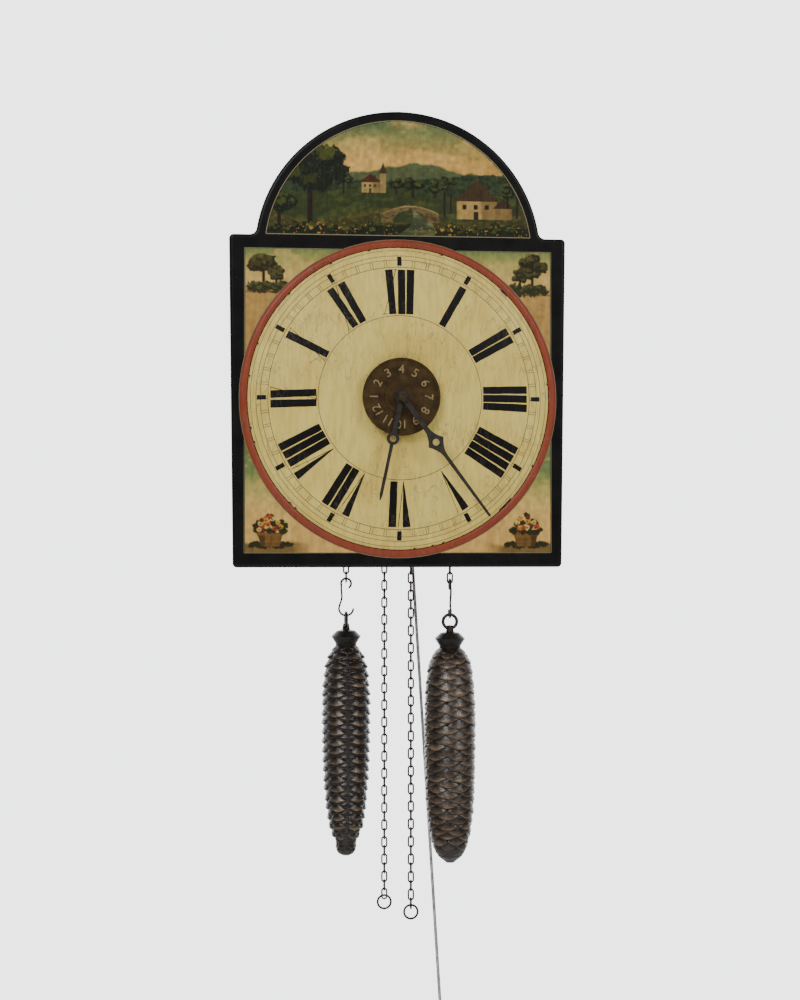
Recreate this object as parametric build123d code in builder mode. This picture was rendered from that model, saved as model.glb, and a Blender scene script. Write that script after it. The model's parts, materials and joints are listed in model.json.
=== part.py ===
"""Black forest shield clock: a painted wooden shield in front of a weight driven wooden movement.

The movement has a going train and an alarm train, each driven by a cone weight on a chain.
Units are millimetres. +Z is up, the dial faces -Y and +X is to the viewer's right.
The origin is the centre of the hole in the hanger plate, on the plate's rear face.
"""

import os
from math import acos, atan2, cos, degrees, hypot, pi, radians, sin, sqrt

from build123d import *

# Clearances
FIT = 0.02  # a wheel on its arbor, a peg in its hole
RUN = 0.05  # a pivot in its bush, radial
GAP = 0.3  # between neighbours that move past each other

# Hanger and wooden frame
HANGER_T = 1.5
HANGER_W = 16.0
HANGER_HOLE_R = 3.5
HANGER_RISE = 10.0
HANGER_LENGTH = 44.0
HANGER_NAIL_R = 1.1
HANGER_NAIL_HEAD_R = 2.2
HANGER_NAIL_LENGTH = 8.0
HANGER_HOLE_OVER_BOARD = 12.0
PLATE_T = 9.0
PLATE_GAP = 52.0
PLATE_HALF_W = 52.0
BOARD_T = 10.0
BOARD_HALF_W = 60.0
FRAME_HALF_H = 84.0
DOOR_T = 4.0
DOOR_PIN_R = 0.8
DOOR_PIN_DEPTH = 6.0
DOOR_KNOB_R = 3.5
DOOR_KNOB_LENGTH = 7.0
DOOR_PIN_X = 57.7
DOOR_PIN_Y = -5.0
DOOR_MARGIN = 1.0
CHAIN_HOLE_R = 5.0
STANDOFF_LENGTH = 26.0
STANDOFF_R = 4.0
STANDOFF_X = 40.0
STANDOFF_SPIGOT_R = 2.5
STANDOFF_SPIGOT_LENGTH = 8.0

# Shield
SHIELD_T = 8.0
SHIELD_TOP_HALF_W = 121.6
SHIELD_FOOT_HALF_W = 118.6
SHIELD_ABOVE = 117.0
SHIELD_BELOW = 121.0
SHOULDER_W = 18.95  # flat top on each side of the arch
ARCH_RISE = 90.3
CORNER_R = 3.0
FOOT_COVE_R = 5.0
SHIELD_EDGE_R = 2.5
RING_R = 114.0
RING_WIDTH = 5.6
RING_LIFT = 1.8
DOME_LIFT = 11.5
HOLLOW_R = 72.0
HOLLOW_DEPTH = 9.0
DIAL_HOLE_R = 6.5
BATTEN_T = 12.0
BATTEN_H = 18.0
BATTEN_HALF_L = 92.0
BATTEN_BEVEL = 3.0
PEG_R = 3.0
PEG_X = 45.0
PEG_IN_BATTEN = 8.0

# Depths, measured back from the hanger plate's rear face
BACK_REAR_Y = -HANGER_T
BACK_FACE_Y = BACK_REAR_Y - PLATE_T
FRONT_BACK_Y = BACK_FACE_Y - PLATE_GAP
FRONT_FACE_Y = FRONT_BACK_Y - PLATE_T
SHIELD_REAR_Y = FRONT_FACE_Y - BATTEN_T
SHIELD_FACE_Y = SHIELD_REAR_Y - SHIELD_T
WALL_Y = BACK_REAR_Y + STANDOFF_LENGTH

# Heights
DIAL_Z = -(FRAME_HALF_H + BOARD_T + HANGER_HOLE_OVER_BOARD)
CEILING_Z = DIAL_Z + FRAME_HALF_H
FLOOR_Z = DIAL_Z - FRAME_HALF_H

# Chain
LINK_PITCH = 6.45
LINK_WIRE = 1.25
LINK_WIDTH = 4.9
LINK_PLAY = 0.06
POCKETS = 7
WRAP_LINKS = POCKETS
WEIGHT_RUN_LINKS = 16
FREE_RUN_LINKS = 53
CASE_LINKS = 8
CHAIN_R = LINK_PITCH / (2 * sin(pi / (2 * POCKETS)))
END_RING_R = 5.0
END_RING_WIRE = 1.6

# Sprockets: a cheeked drum with a spur in every flat link
SPROCKET_CHEEK_R = 17.5
SPROCKET_CHEEK_T = 1.2
SPROCKET_W = 9.0
SPROCKET_CORE_R = 11.4
SPUR_T = 1.4
RATCHET_TEETH = 16
RATCHET_R = 11.0
RATCHET_ROOT_R = 9.0
RATCHET_T = 1.4

# Trains: tooth counts and modules
GREAT_TEETH = 60
CENTRE_PINS = 10
GREAT_MODULE = 0.987
CENTRE_TEETH = 80
THIRD_PINS = 8
CENTRE_MODULE = 0.8
THIRD_TEETH = 64
ESCAPE_PINS = 8
THIRD_MODULE = 0.7
CANNON_PINS = 12
MINUTE_TEETH = 36
MINUTE_PINS = 10
HOUR_TEETH = 40
MINUTE_MODULE = 0.75
ESCAPE_TEETH = 30
ESCAPE_R = 16.0
ESCAPE_ROOT_R = 13.2
ESCAPE_TIP_ANGLE = 43.8
ALARM_TEETH = 18
ALARM_WHEEL_R = 15.0
ALARM_ROOT_R = 11.8
PIN_SHARE = 0.52  # trundle radius as a share of the module
TOOTH_PLAY = 0.14
ROOT_PLAY = 0.35
FLANK_STEPS = 3
FLANK_ROLL = 0.92
WHEEL_T = 1.7
COLLET_R = 4.2
COLLET_T = 3.0
LANTERN_LENGTH = 9.0
LANTERN_DISC_T = 1.2
LANTERN_RIM = 0.9

# Arbors
ARBOR_R = 1.6
PIVOT_R = 0.9
PIVOT_LENGTH = 8.0
CENTRE_ARBOR_R = 1.5
BUSH_R = 3.0

# Arbor places in the plane of the dial, as (x, z)
GOING_X = -18.0
ALARM_X = 27.0
ESCAPE_X = 8.8
ESCAPE_UP = 46.0
ANCHOR_REACH = ESCAPE_R * sqrt(2)
HAMMER_REACH = 21.5
HAMMER_ANGLE = 50.0
LEVER_X = 25.0
LEVER_UP = -9.5
MINUTE_ANGLE = 180.0


def mesh_distance(wheel, pins, module):
    """Distance between the arbors of a wheel and a lantern pinion."""
    return (wheel + pins) * module / 2


MINUTE_REACH = mesh_distance(MINUTE_TEETH, CANNON_PINS, MINUTE_MODULE)
HOUR_MODULE = 2 * MINUTE_REACH / (HOUR_TEETH + MINUTE_PINS)


def polar(centre, reach, angle):
    """The point at a distance and an angle in degrees from another point."""
    return (centre[0] + reach * cos(radians(angle)), centre[1] + reach * sin(radians(angle)))


def bearing(start, end):
    """The angle in degrees of the line from one point to another."""
    return degrees(atan2(end[1] - start[1], end[0] - start[0]))


def meeting_point(first, first_r, second, second_r):
    """The left hand point that lies at two given distances from two points."""
    apart = hypot(second[0] - first[0], second[1] - first[1])
    turn = degrees(acos((first_r**2 + apart**2 - second_r**2) / (2 * first_r * apart)))
    return polar(first, first_r, bearing(first, second) + turn)


CENTRE = (0.0, DIAL_Z)
GREAT_REACH = mesh_distance(GREAT_TEETH, CENTRE_PINS, GREAT_MODULE)
GREAT = (GOING_X, DIAL_Z - sqrt(GREAT_REACH**2 - GOING_X**2))
ESCAPE = (ESCAPE_X, DIAL_Z + ESCAPE_UP)
THIRD = meeting_point(
    CENTRE,
    mesh_distance(CENTRE_TEETH, THIRD_PINS, CENTRE_MODULE),
    ESCAPE,
    mesh_distance(THIRD_TEETH, ESCAPE_PINS, THIRD_MODULE),
)
ANCHOR = (ESCAPE[0], ESCAPE[1] + ANCHOR_REACH)
ALARM = (ALARM_X, GREAT[1])
HAMMER = polar(ALARM, HAMMER_REACH, HAMMER_ANGLE)
MINUTE = polar(CENTRE, MINUTE_REACH, MINUTE_ANGLE)
LEVER = (LEVER_X, DIAL_Z + LEVER_UP)

# Depths of the wheels, each the rear face
GOING_CHAIN_Y = SHIELD_FACE_Y + 74.0
ALARM_CHAIN_Y = SHIELD_FACE_Y + 36.0
GREAT_WHEEL_Y = GOING_CHAIN_Y - SPROCKET_W / 2 - RATCHET_T - 2 * GAP
CENTRE_PINION_Y = GREAT_WHEEL_Y + LANTERN_LENGTH / 2 - WHEEL_T / 2
CENTRE_WHEEL_Y = SHIELD_FACE_Y + 53.8
THIRD_PINION_Y = CENTRE_WHEEL_Y + LANTERN_LENGTH / 2 - WHEEL_T / 2
THIRD_WHEEL_Y = SHIELD_FACE_Y + 42.8
ESCAPE_PINION_Y = THIRD_WHEEL_Y + LANTERN_LENGTH / 2 - WHEEL_T / 2
ESCAPE_WHEEL_Y = SHIELD_FACE_Y + 60.0
ALARM_WHEEL_Y = ALARM_CHAIN_Y + SPROCKET_W / 2 + RATCHET_T + 2 * GAP + WHEEL_T
CANNON_PINION_Y = FRONT_FACE_Y - 0.6
CANNON_PINION_LENGTH = 4.4
MINUTE_WHEEL_Y = CANNON_PINION_Y - 1.5
MINUTE_WHEEL_T = 1.3
MINUTE_PINION_LENGTH = 4.6
HOUR_WHEEL_Y = MINUTE_WHEEL_Y - MINUTE_WHEEL_T - 1.9
HOUR_WHEEL_T = 1.4
CAM_Y = HOUR_WHEEL_Y - HOUR_WHEEL_T - 1.6
CAM_T = 1.5
CAM_R = 12.5
CAM_NOTCH = 2.4

# Pipes and hands in front of the dial
CANNON_PIPE_R = 2.5
HOUR_PIPE_R = 3.5
ALARM_PIPE_R = 4.7
ALARM_DISC_R = 27.7
ALARM_DISC_T = 1.2
ALARM_BOSS_R = 8.8
ALARM_BOSS_LIFT = 1.6
ALARM_DISC_Y = SHIELD_FACE_Y - DOME_LIFT - RING_LIFT - 3.6
HAND_T = 0.9
HOUR_HAND_Y = ALARM_DISC_Y - ALARM_DISC_T - ALARM_BOSS_LIFT - 0.6 - HAND_T
MINUTE_HAND_Y = HOUR_HAND_Y - 1.4
HOUR_HAND_LENGTH = 75.0
HOUR_RING_REACH = 30.5
MINUTE_HAND_LENGTH = 105.5
MINUTE_RING_REACH = 40.3
HOUR_TURN = 192.0
MINUTE_TURN = 143.5
HAND_BOSS_R = 3.6
STUD_R = 1.4
NUT_R = 3.4
NUT_LENGTH = 3.2
NUT_TIP = 1.2

# Escapement and pendulum
SWING_AT_REST = 3.6
PENDULUM_Y = SHIELD_FACE_Y + 98.0
PENDULUM_LENGTH = 559.0
ROD_R = 1.2
ROD_TAIL = 34.0
BOB_R = 27.0
BOB_T = 9.0
BOB_RIM_T = 1.6
BRACKET_T = 2.0
BRACKET_PIN_R = 1.2
CRUTCH_Y = BACK_REAR_Y + 4.0
CRUTCH_LENGTH = 58.0
CRUTCH_R = 0.9
CRUTCH_COLLET_R = 3.5
PALLET_T = 4.0
PALLET_HALF = 0.4
NIB_LIFT = 0.1
NIB_LENGTH = 3.0
FORK_PLAY = 0.35
BRACKET_PIN_LENGTH = 5.6
VERGE_HALF = 5.2
LEVER_REAR_Y = -44.5
LEVER_STOP_REACH = 12.0

# Weights
WEIGHT_RING_R = 5.1
WEIGHT_RING_WIRE = 2.4
HOOK_WIRE = 1.6
HOOK_EYE_R = 3.8
HOOK_DROP = 27.2
EYE_BELOW = HOOK_EYE_R - HOOK_WIRE / 2 - LINK_WIRE
CAP_TOP = 5.8
CAP_R = 11.2
CAP_MID = 12.5
NECK_R = 7.9
NECK_DROP = 19.3
GOING_CONE_R = 18.8
ALARM_CONE_R = 19.4
CONE_TIP_DROP = 177.0
CONE_ROWS = 26
SCALE_LIFT = 0.9
# Cone outlines: share of the length below the neck and share of the greatest radius
GOING_CONE_SHAPE = (
    (0.0, 0.42),
    (0.02, 0.58),
    (0.05, 0.75),
    (0.10, 0.88),
    (0.15, 0.94),
    (0.25, 1.0),
    (0.45, 0.985),
    (0.55, 0.97),
    (0.65, 0.93),
    (0.75, 0.86),
    (0.85, 0.74),
    (0.90, 0.60),
    (0.925, 0.48),
    (0.945, 0.42),
    (0.975, 0.41),
    (0.99, 0.32),
    (1.0, 0.16),
)
ALARM_CONE_SHAPE = (
    (0.0, 0.42),
    (0.02, 0.60),
    (0.05, 0.76),
    (0.09, 0.86),
    (0.16, 0.94),
    (0.28, 0.99),
    (0.40, 1.0),
    (0.55, 0.985),
    (0.68, 0.955),
    (0.78, 0.90),
    (0.87, 0.80),
    (0.93, 0.66),
    (0.97, 0.46),
    (1.0, 0.16),
)

# Bell and hammer
BELL_R = 28.0
BELL_H = 20.0
BELL_T = 1.6
BELL_X = 14.0
BELL_Y = SHIELD_FACE_Y + 56.0
BELL_MOUTH_OVER_BOARD = 10.0
BELL_POST_R = 2.0
BELL_SHOULDER_R = 3.5
BELL_NUT_R = 4.0
BELL_NUT_T = 3.5
HAMMER_HEAD_R = 4.0
HAMMER_HEAD_LENGTH = 10.0
HAMMER_WIRE_R = 0.9
HAMMER_GAP = 3.0
HAMMER_SLOT_X = 48.0
HAMMER_SLOT_W = 20.0
HAMMER_SLOT_D = 6.0


def front(y, place=(0.0, 0.0), turn=0.0):
    """A plane facing the viewer at a depth, with its origin at a place and an optional turn."""
    x_dir = (cos(radians(turn)), 0.0, sin(radians(turn)))
    return Plane(origin=(place[0], y, place[1]), x_dir=x_dir, z_dir=(0, -1, 0))


def disc(rear_y, thickness, place, radius, mode=Mode.ADD):
    """A round plate or hole with its rear face at a depth."""
    with BuildSketch(front(rear_y, place)) as face:
        Circle(radius)
    extrude(face.sketch, amount=thickness, mode=mode)


def tube(rear_y, thickness, place, outer_r, inner_r):
    """A pipe or ring with its rear face at a depth."""
    with BuildSketch(front(rear_y, place)) as face:
        Circle(outer_r)
        Circle(inner_r, mode=Mode.SUBTRACT)
    extrude(face.sketch, amount=thickness)


def slab(x_range, y_range, z_range, mode=Mode.ADD):
    """A rectangular block between given limits."""
    middle = [(low + high) / 2 for low, high in (x_range, y_range, z_range)]
    size = [high - low for low, high in (x_range, y_range, z_range)]
    with Locations(tuple(middle)):
        Box(*size, mode=mode)


def turned(profile, place):
    """A solid of revolution from (radius, height) points, about an upright line at a place."""
    with BuildSketch(Plane(origin=place, x_dir=(1, 0, 0), z_dir=(0, -1, 0))) as face:
        with BuildLine():
            Polyline(*profile, close=True)
        make_face()
    revolve(face.sketch, axis=Axis(place, (0, 0, 1)))


def save(piece, name):
    """Label a piece and write it to its own file."""
    piece.label = name
    export_step(piece, f"parts/{name}.step")


def group(solids, name):
    """Save several separate solids as one named piece."""
    save(Compound(children=solids), name)


# Toothed wheels and lantern pinions


def flank_point(roll, pitch_r, pinion_r, pin_r):
    """A point of a tooth flank: the side of a trundle that has rolled away by an angle."""
    inner = (pitch_r + pinion_r) / pinion_r * roll
    pin_x = (pitch_r + pinion_r) * cos(roll) - pinion_r * cos(inner)
    pin_z = (pitch_r + pinion_r) * sin(roll) - pinion_r * sin(inner)
    to_x = pitch_r * cos(roll) - pin_x
    to_z = pitch_r * sin(roll) - pin_z
    reach = hypot(to_x, to_z)
    return (pin_x + to_x * pin_r / reach, pin_z + to_z * pin_r / reach)


def tooth_flank(teeth, pins, module):
    """Radius and angle, from the middle of the gap, of points up one side of a tooth."""
    pitch_r = teeth * module / 2
    pinion_r = pins * module / 2
    pin_r = PIN_SHARE * module + TOOTH_PLAY
    roll = 0.002
    half_tooth = pi / teeth
    while True:
        x, z = flank_point(roll, pitch_r, pinion_r, pin_r)
        if atan2(z, x) > half_tooth or roll > 0.5:
            break
        roll += 0.002
    points = []
    for step in range(1, FLANK_STEPS + 1):
        part_roll = 0.002 + (roll * FLANK_ROLL - 0.002) * step / FLANK_STEPS
        x, z = flank_point(part_roll, pitch_r, pinion_r, pin_r)
        points.append((hypot(x, z), atan2(z, x)))
    base_angle = pin_r / pitch_r
    root_r = pitch_r - PIN_SHARE * module - ROOT_PLAY
    return [(root_r, base_angle), (pitch_r, base_angle)] + points


def wheel_points(teeth, pins, module, gap_angle):
    """The outline of a wheel with a gap centred on an angle in degrees."""
    flank = tooth_flank(teeth, pins, module)
    pitch = 2 * pi / teeth
    points = []
    for tooth in range(teeth):
        start = radians(gap_angle) + tooth * pitch
        for radius, angle in flank:
            points.append((radius * cos(start + angle), radius * sin(start + angle)))
        for radius, angle in reversed(flank):
            turn = start + pitch - angle
            points.append((radius * cos(turn), radius * sin(turn)))
    return points


def crossings(rear_y, thickness, place, outer_r, inner_r, spoke_w, turn=0.0):
    """Cut four openings that leave the spokes of a wheel."""
    with BuildSketch(front(rear_y, place, turn)) as face:
        Circle(outer_r)
        Circle(inner_r, mode=Mode.SUBTRACT)
        Rectangle(2 * outer_r, spoke_w, mode=Mode.SUBTRACT)
        Rectangle(spoke_w, 2 * outer_r, mode=Mode.SUBTRACT)
    extrude(face.sketch, amount=thickness, mode=Mode.SUBTRACT)


def train_wheel(rear_y, place, counts, gap_angle, hole_r, collet_on_front=True):
    """A crossed wheel on a collet, with teeth for a lantern pinion."""
    teeth, pins, module = counts
    root_r = teeth * module / 2 - PIN_SHARE * module - ROOT_PLAY
    with BuildSketch(front(rear_y, place)) as face:
        with BuildLine():
            Polyline(*wheel_points(teeth, pins, module, gap_angle), close=True)
        make_face()
    extrude(face.sketch, amount=WHEEL_T)
    crossings(rear_y, WHEEL_T, place, root_r - 2.6, COLLET_R + 2.2, 2.8, gap_angle)
    collet_y = rear_y - WHEEL_T if collet_on_front else rear_y + COLLET_T
    disc(collet_y, COLLET_T, place, COLLET_R)
    disc(rear_y + COLLET_T, 2 * COLLET_T + WHEEL_T, place, hole_r, mode=Mode.SUBTRACT)


def lantern(rear_y, length, place, pins, module, pin_angle):
    """Two discs joined by a ring of trundles, one of them at an angle in degrees."""
    pitch_r = pins * module / 2
    rim_r = pitch_r + PIN_SHARE * module + LANTERN_RIM
    disc(rear_y, LANTERN_DISC_T, place, rim_r)
    disc(rear_y - length + LANTERN_DISC_T, LANTERN_DISC_T, place, rim_r)
    with BuildSketch(front(rear_y, place, pin_angle)) as face:
        with PolarLocations(pitch_r, pins):
            Circle(PIN_SHARE * module)
    extrude(face.sketch, amount=length)


def arbor(place, rear_end, front_end, radius=ARBOR_R):
    """A plain round arbor between the plates, with a thinner pivot at each end."""
    disc(BACK_FACE_Y - GAP, PLATE_GAP - 2 * GAP, place, radius)
    disc(rear_end, rear_end - front_end, place, PIVOT_R)


def front_pivot_end():
    """Depth of the front end of a pivot in its bush."""
    return FRONT_BACK_Y - PIVOT_LENGTH


def rear_pivot_end():
    """Depth of the rear end of a pivot in its bush."""
    return BACK_FACE_Y + PIVOT_LENGTH


# Chain


def make_link():
    """One link standing on end, its flat side facing the viewer."""
    end_r = (LINK_WIDTH - LINK_WIRE) / 2
    half = (LINK_PITCH + LINK_PLAY + LINK_WIRE) / 2 - end_r
    with BuildPart() as link:
        with BuildLine(Plane.XZ):
            Line((end_r, -half), (end_r, half))
            ThreePointArc((end_r, half), (0, half + end_r), (-end_r, half))
            Line((-end_r, half), (-end_r, -half))
            ThreePointArc((-end_r, -half), (0, -half - end_r), (end_r, -half))
        with BuildSketch(Plane(origin=(end_r, 0, -half), z_dir=(0, 0, 1))):
            Circle(LINK_WIRE / 2)
        sweep()
    return link.part


def hanging_links(link, place, y, count, first, flat_first):
    """Links hanging in a line below a point, numbered from the top."""
    links = []
    for number in range(first, first + count):
        height = place[1] - (number + 0.5) * LINK_PITCH
        turn = 90 if (number % 2 == 0) == flat_first else 0
        links.append(Pos(place[0], y, height) * Rot(0, 0, turn) * link)
    return links


def wrapped_links(link, place, y, flat_first):
    """Links lying over the top of a sprocket, from its left side to its right side."""
    step = 180 / WRAP_LINKS
    reach = CHAIN_R * cos(radians(step / 2))
    links = []
    for number in range(WRAP_LINKS):
        angle = 180 - (number + 0.5) * step
        spot = polar(place, reach, angle)
        turn = 90 if (number % 2 == 0) == flat_first else 0
        links.append(Pos(spot[0], y, spot[1]) * Rot(0, -angle, 0) * Rot(0, 0, turn) * link)
    return links


def sprocket_angle(flat_first):
    """Angle of the spur that enters the flat link next to the left hand run."""
    step = 180 / WRAP_LINKS
    return 180 - step / 2 if flat_first else 180 - 1.5 * step


def chain_sprocket(place, y, flat_first, ratchet_front):
    """A drum with two cheeks, a spur for each flat link and a ratchet on one cheek."""
    half = SPROCKET_W / 2
    with BuildPart() as sprocket:
        disc(y + half, SPROCKET_W, place, SPROCKET_CORE_R)
        disc(y + half, SPROCKET_CHEEK_T, place, SPROCKET_CHEEK_R)
        disc(y - half + SPROCKET_CHEEK_T, SPROCKET_CHEEK_T, place, SPROCKET_CHEEK_R)
        with BuildSketch(front(y + SPUR_T / 2, place, sprocket_angle(flat_first))):
            with PolarLocations(CHAIN_R - 1.2, POCKETS):
                Rectangle(6.0, 2.6)
        extrude(amount=SPUR_T)
        ratchet_rear = y - half if ratchet_front else y + half + RATCHET_T
        with BuildSketch(front(ratchet_rear, place)):
            with BuildLine():
                Polyline(*ratchet_points(), close=True)
            make_face()
        extrude(amount=RATCHET_T)
        bore_rear = y + half + RATCHET_T
        disc(bore_rear, SPROCKET_W + 2 * RATCHET_T, place, ARBOR_R + RUN, mode=Mode.SUBTRACT)
    return sprocket.part


def ratchet_points():
    """Saw teeth of a ratchet, steep on one side."""
    points = []
    for tooth in range(RATCHET_TEETH):
        start = 360 / RATCHET_TEETH * tooth
        points.append(polar((0, 0), RATCHET_ROOT_R, start))
        points.append(polar((0, 0), RATCHET_R, start + 1))
    return points


def end_ring(place, y, top_z):
    """A round ring hanging in the last link of a free chain."""
    centre_z = top_z - END_RING_R
    with BuildPart() as ring:
        with Locations((place[0], y, centre_z)):
            Torus(END_RING_R, END_RING_WIRE / 2, rotation=(90, 0, 0))
    return ring.part


def make_chain(name, place, y, weight_on_left, flat_first):
    """The three visible stretches of one chain: over the sprocket, weight side and free side."""
    link = make_link()
    side = -1 if weight_on_left else 1
    weight_top = (place[0] + side * CHAIN_R, place[1])
    free_top = (place[0] - side * CHAIN_R, place[1])
    case_links = wrapped_links(link, place, y, flat_first)
    case_links += hanging_links(link, free_top, y, CASE_LINKS, 0, not flat_first)
    group(case_links, f"{name}_chain_in_case")
    group(
        hanging_links(link, weight_top, y, WEIGHT_RUN_LINKS, 0, not flat_first),
        f"{name}_chain_weight_side",
    )
    free_links = hanging_links(
        link, free_top, y, FREE_RUN_LINKS - CASE_LINKS, CASE_LINKS, not flat_first
    )
    last_z = free_top[1] - FREE_RUN_LINKS * LINK_PITCH
    ring_top = last_z + LINK_WIRE + END_RING_WIRE / 2 - LINK_PLAY
    free_links.append(end_ring(free_top, y, ring_top))
    group(free_links, f"{name}_chain_free_side")
    return weight_top, weight_top[1] - WEIGHT_RUN_LINKS * LINK_PITCH


# Cone weights


def cone_radius(share, max_r, shape):
    """Radius of the cone body at a share of its length below the neck."""
    below = [point for point in shape if point[0] <= share][-1]
    above = [point for point in shape if point[0] >= share][0]
    if above[0] == below[0]:
        return max_r * above[1]
    along = (share - below[0]) / (above[0] - below[0])
    return max_r * (below[1] + along * (above[1] - below[1]))


def cone_profile(top_z, tip_z, max_r, shape):
    """Outline of a cone with a small step at each row of scales."""
    points = [(0.0, top_z)]
    length = top_z - tip_z
    for row in range(CONE_ROWS):
        upper = row / CONE_ROWS
        lower = (row + 0.85) / CONE_ROWS
        upper_r = max(cone_radius(upper, max_r, shape) - SCALE_LIFT, 1.0)
        lower_r = max(cone_radius(lower, max_r, shape), 1.2)
        points.append((upper_r, top_z - upper * length))
        points.append((lower_r, top_z - lower * length))
    points.append((0.0, tip_z))
    return points


def make_weight(name, hang, max_r, shape, hook_faces_viewer):
    """A cone weight with its cap, ring and the wire hook that joins it to the chain."""
    x, y, eye_z = hang
    turn = 0 if hook_faces_viewer else 90
    hook_plane = Plane(
        origin=(x, y, eye_z),
        x_dir=(cos(radians(turn)), sin(radians(turn)), 0),
        z_dir=(sin(radians(turn)), -cos(radians(turn)), 0),
    )
    ring_z = eye_z - HOOK_DROP
    bowl_r = HOOK_EYE_R + 1.6
    bowl_z = -HOOK_DROP + WEIGHT_RING_R - WEIGHT_RING_WIRE / 2 - HOOK_WIRE / 2 - LINK_PLAY + bowl_r
    with BuildPart() as hook:
        with BuildLine(hook_plane) as wire:
            eye = [polar((0, 0), HOOK_EYE_R, angle) for angle in (-60, 70, 200)]
            ThreePointArc(*eye)
            Spline(
                eye[2],
                (-bowl_r * 0.62, (bowl_z - HOOK_EYE_R) / 2),
                (-bowl_r, bowl_z),
                tangents=(polar((0, 0), 1, 290), (0, -1)),
            )
            ThreePointArc((-bowl_r, bowl_z), (0, bowl_z - bowl_r), (bowl_r, bowl_z))
        with BuildSketch(Plane(origin=wire.line @ 0, z_dir=wire.line % 0)):
            Circle(HOOK_WIRE / 2)
        sweep(path=wire.line)
    save(hook.part, f"{name}_hook")
    tilt = (0, 90, 0) if hook_faces_viewer else (90, 0, 0)
    with BuildPart() as ring:
        with Locations((x, y, ring_z)):
            Torus(WEIGHT_RING_R, WEIGHT_RING_WIRE / 2, rotation=tilt)
    save(ring.part, f"{name}_weight_ring")
    neck_z = ring_z - NECK_DROP
    cap_top_z = ring_z - CAP_TOP
    eye_hole_z = ring_z - WEIGHT_RING_R
    with BuildPart() as cap:
        cap_profile = [
            (0, eye_hole_z + 2.6),
            (2.2, eye_hole_z + 2.2),
            (3.0, cap_top_z - 1.6),
            (CAP_R - 4.2, cap_top_z - 2.6),
            (CAP_R, ring_z - CAP_MID),
            (NECK_R, neck_z + 1.4),
            (NECK_R, neck_z),
            (0, neck_z),
        ]
        turned(cap_profile, (x, y, 0))
        with Locations((x, y, ring_z)):
            Torus(WEIGHT_RING_R, WEIGHT_RING_WIRE / 2 + 0.2, rotation=tilt, mode=Mode.SUBTRACT)
    save(cap.part, f"{name}_weight_cap")
    with BuildPart() as weight:
        turned(cone_profile(neck_z, ring_z - CONE_TIP_DROP, max_r, shape), (x, y, 0))
    save(weight.part, f"{name}_weight")


# Wooden frame


def bush_places():
    """Places of the arbors whose pivots run in both plates."""
    return [CENTRE, GREAT, THIRD, ESCAPE, ALARM, HAMMER, ANCHOR]


def batten_heights():
    """Heights of the middle of the upper and lower battens."""
    shift = FRAME_HALF_H - BATTEN_H / 2
    return DIAL_Z + shift, DIAL_Z - shift


def drill(places, radius, rear_y, depth):
    """Round holes towards the viewer from a depth."""
    with BuildSketch(front(rear_y)) as face:
        with Locations(*places):
            Circle(radius)
    extrude(face.sketch, amount=depth, mode=Mode.SUBTRACT)


def make_plates():
    """The two upright plates that carry the arbors, and their brass bushes."""
    peg_places = [(side * PEG_X, height) for side in (-1, 1) for height in batten_heights()]
    half_w = (-PLATE_HALF_W, PLATE_HALF_W)
    with BuildPart() as plate:
        slab(half_w, (FRONT_FACE_Y, FRONT_BACK_Y), (FLOOR_Z, CEILING_Z))
        drill(bush_places() + [LEVER], BUSH_R, FRONT_BACK_Y, PLATE_T)
        drill([MINUTE], STUD_R, FRONT_BACK_Y, PLATE_T)
        drill(peg_places, PEG_R, FRONT_BACK_Y, PLATE_T)
    save(plate.part, "front_plate")
    with BuildPart() as plate:
        slab(half_w, (BACK_FACE_Y, BACK_REAR_Y), (FLOOR_Z, CEILING_Z))
        drill(bush_places(), BUSH_R, BACK_REAR_Y, PLATE_T)
        drill(standoff_places(), STANDOFF_SPIGOT_R, BACK_REAR_Y, STANDOFF_SPIGOT_LENGTH)
        drill(low_nail_places(), HANGER_NAIL_R, BACK_REAR_Y, HANGER_NAIL_LENGTH)
        drill([bracket_screw_place()], HANGER_NAIL_R, BACK_REAR_Y, HANGER_NAIL_LENGTH)
    save(plate.part, "back_plate")
    with BuildPart() as bushes:
        for place in bush_places():
            bore_r = CENTRE_ARBOR_R if place == CENTRE else PIVOT_R
            tube(FRONT_BACK_Y, PLATE_T, place, BUSH_R, bore_r + RUN)
            rear_bore_r = ARBOR_R if place == ANCHOR else PIVOT_R
            tube(BACK_REAR_Y, PLATE_T, place, BUSH_R, rear_bore_r + RUN)
        tube(FRONT_BACK_Y, PLATE_T, LEVER, BUSH_R, ARBOR_R + RUN)
    save(bushes.part, "plate_bushes")


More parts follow.
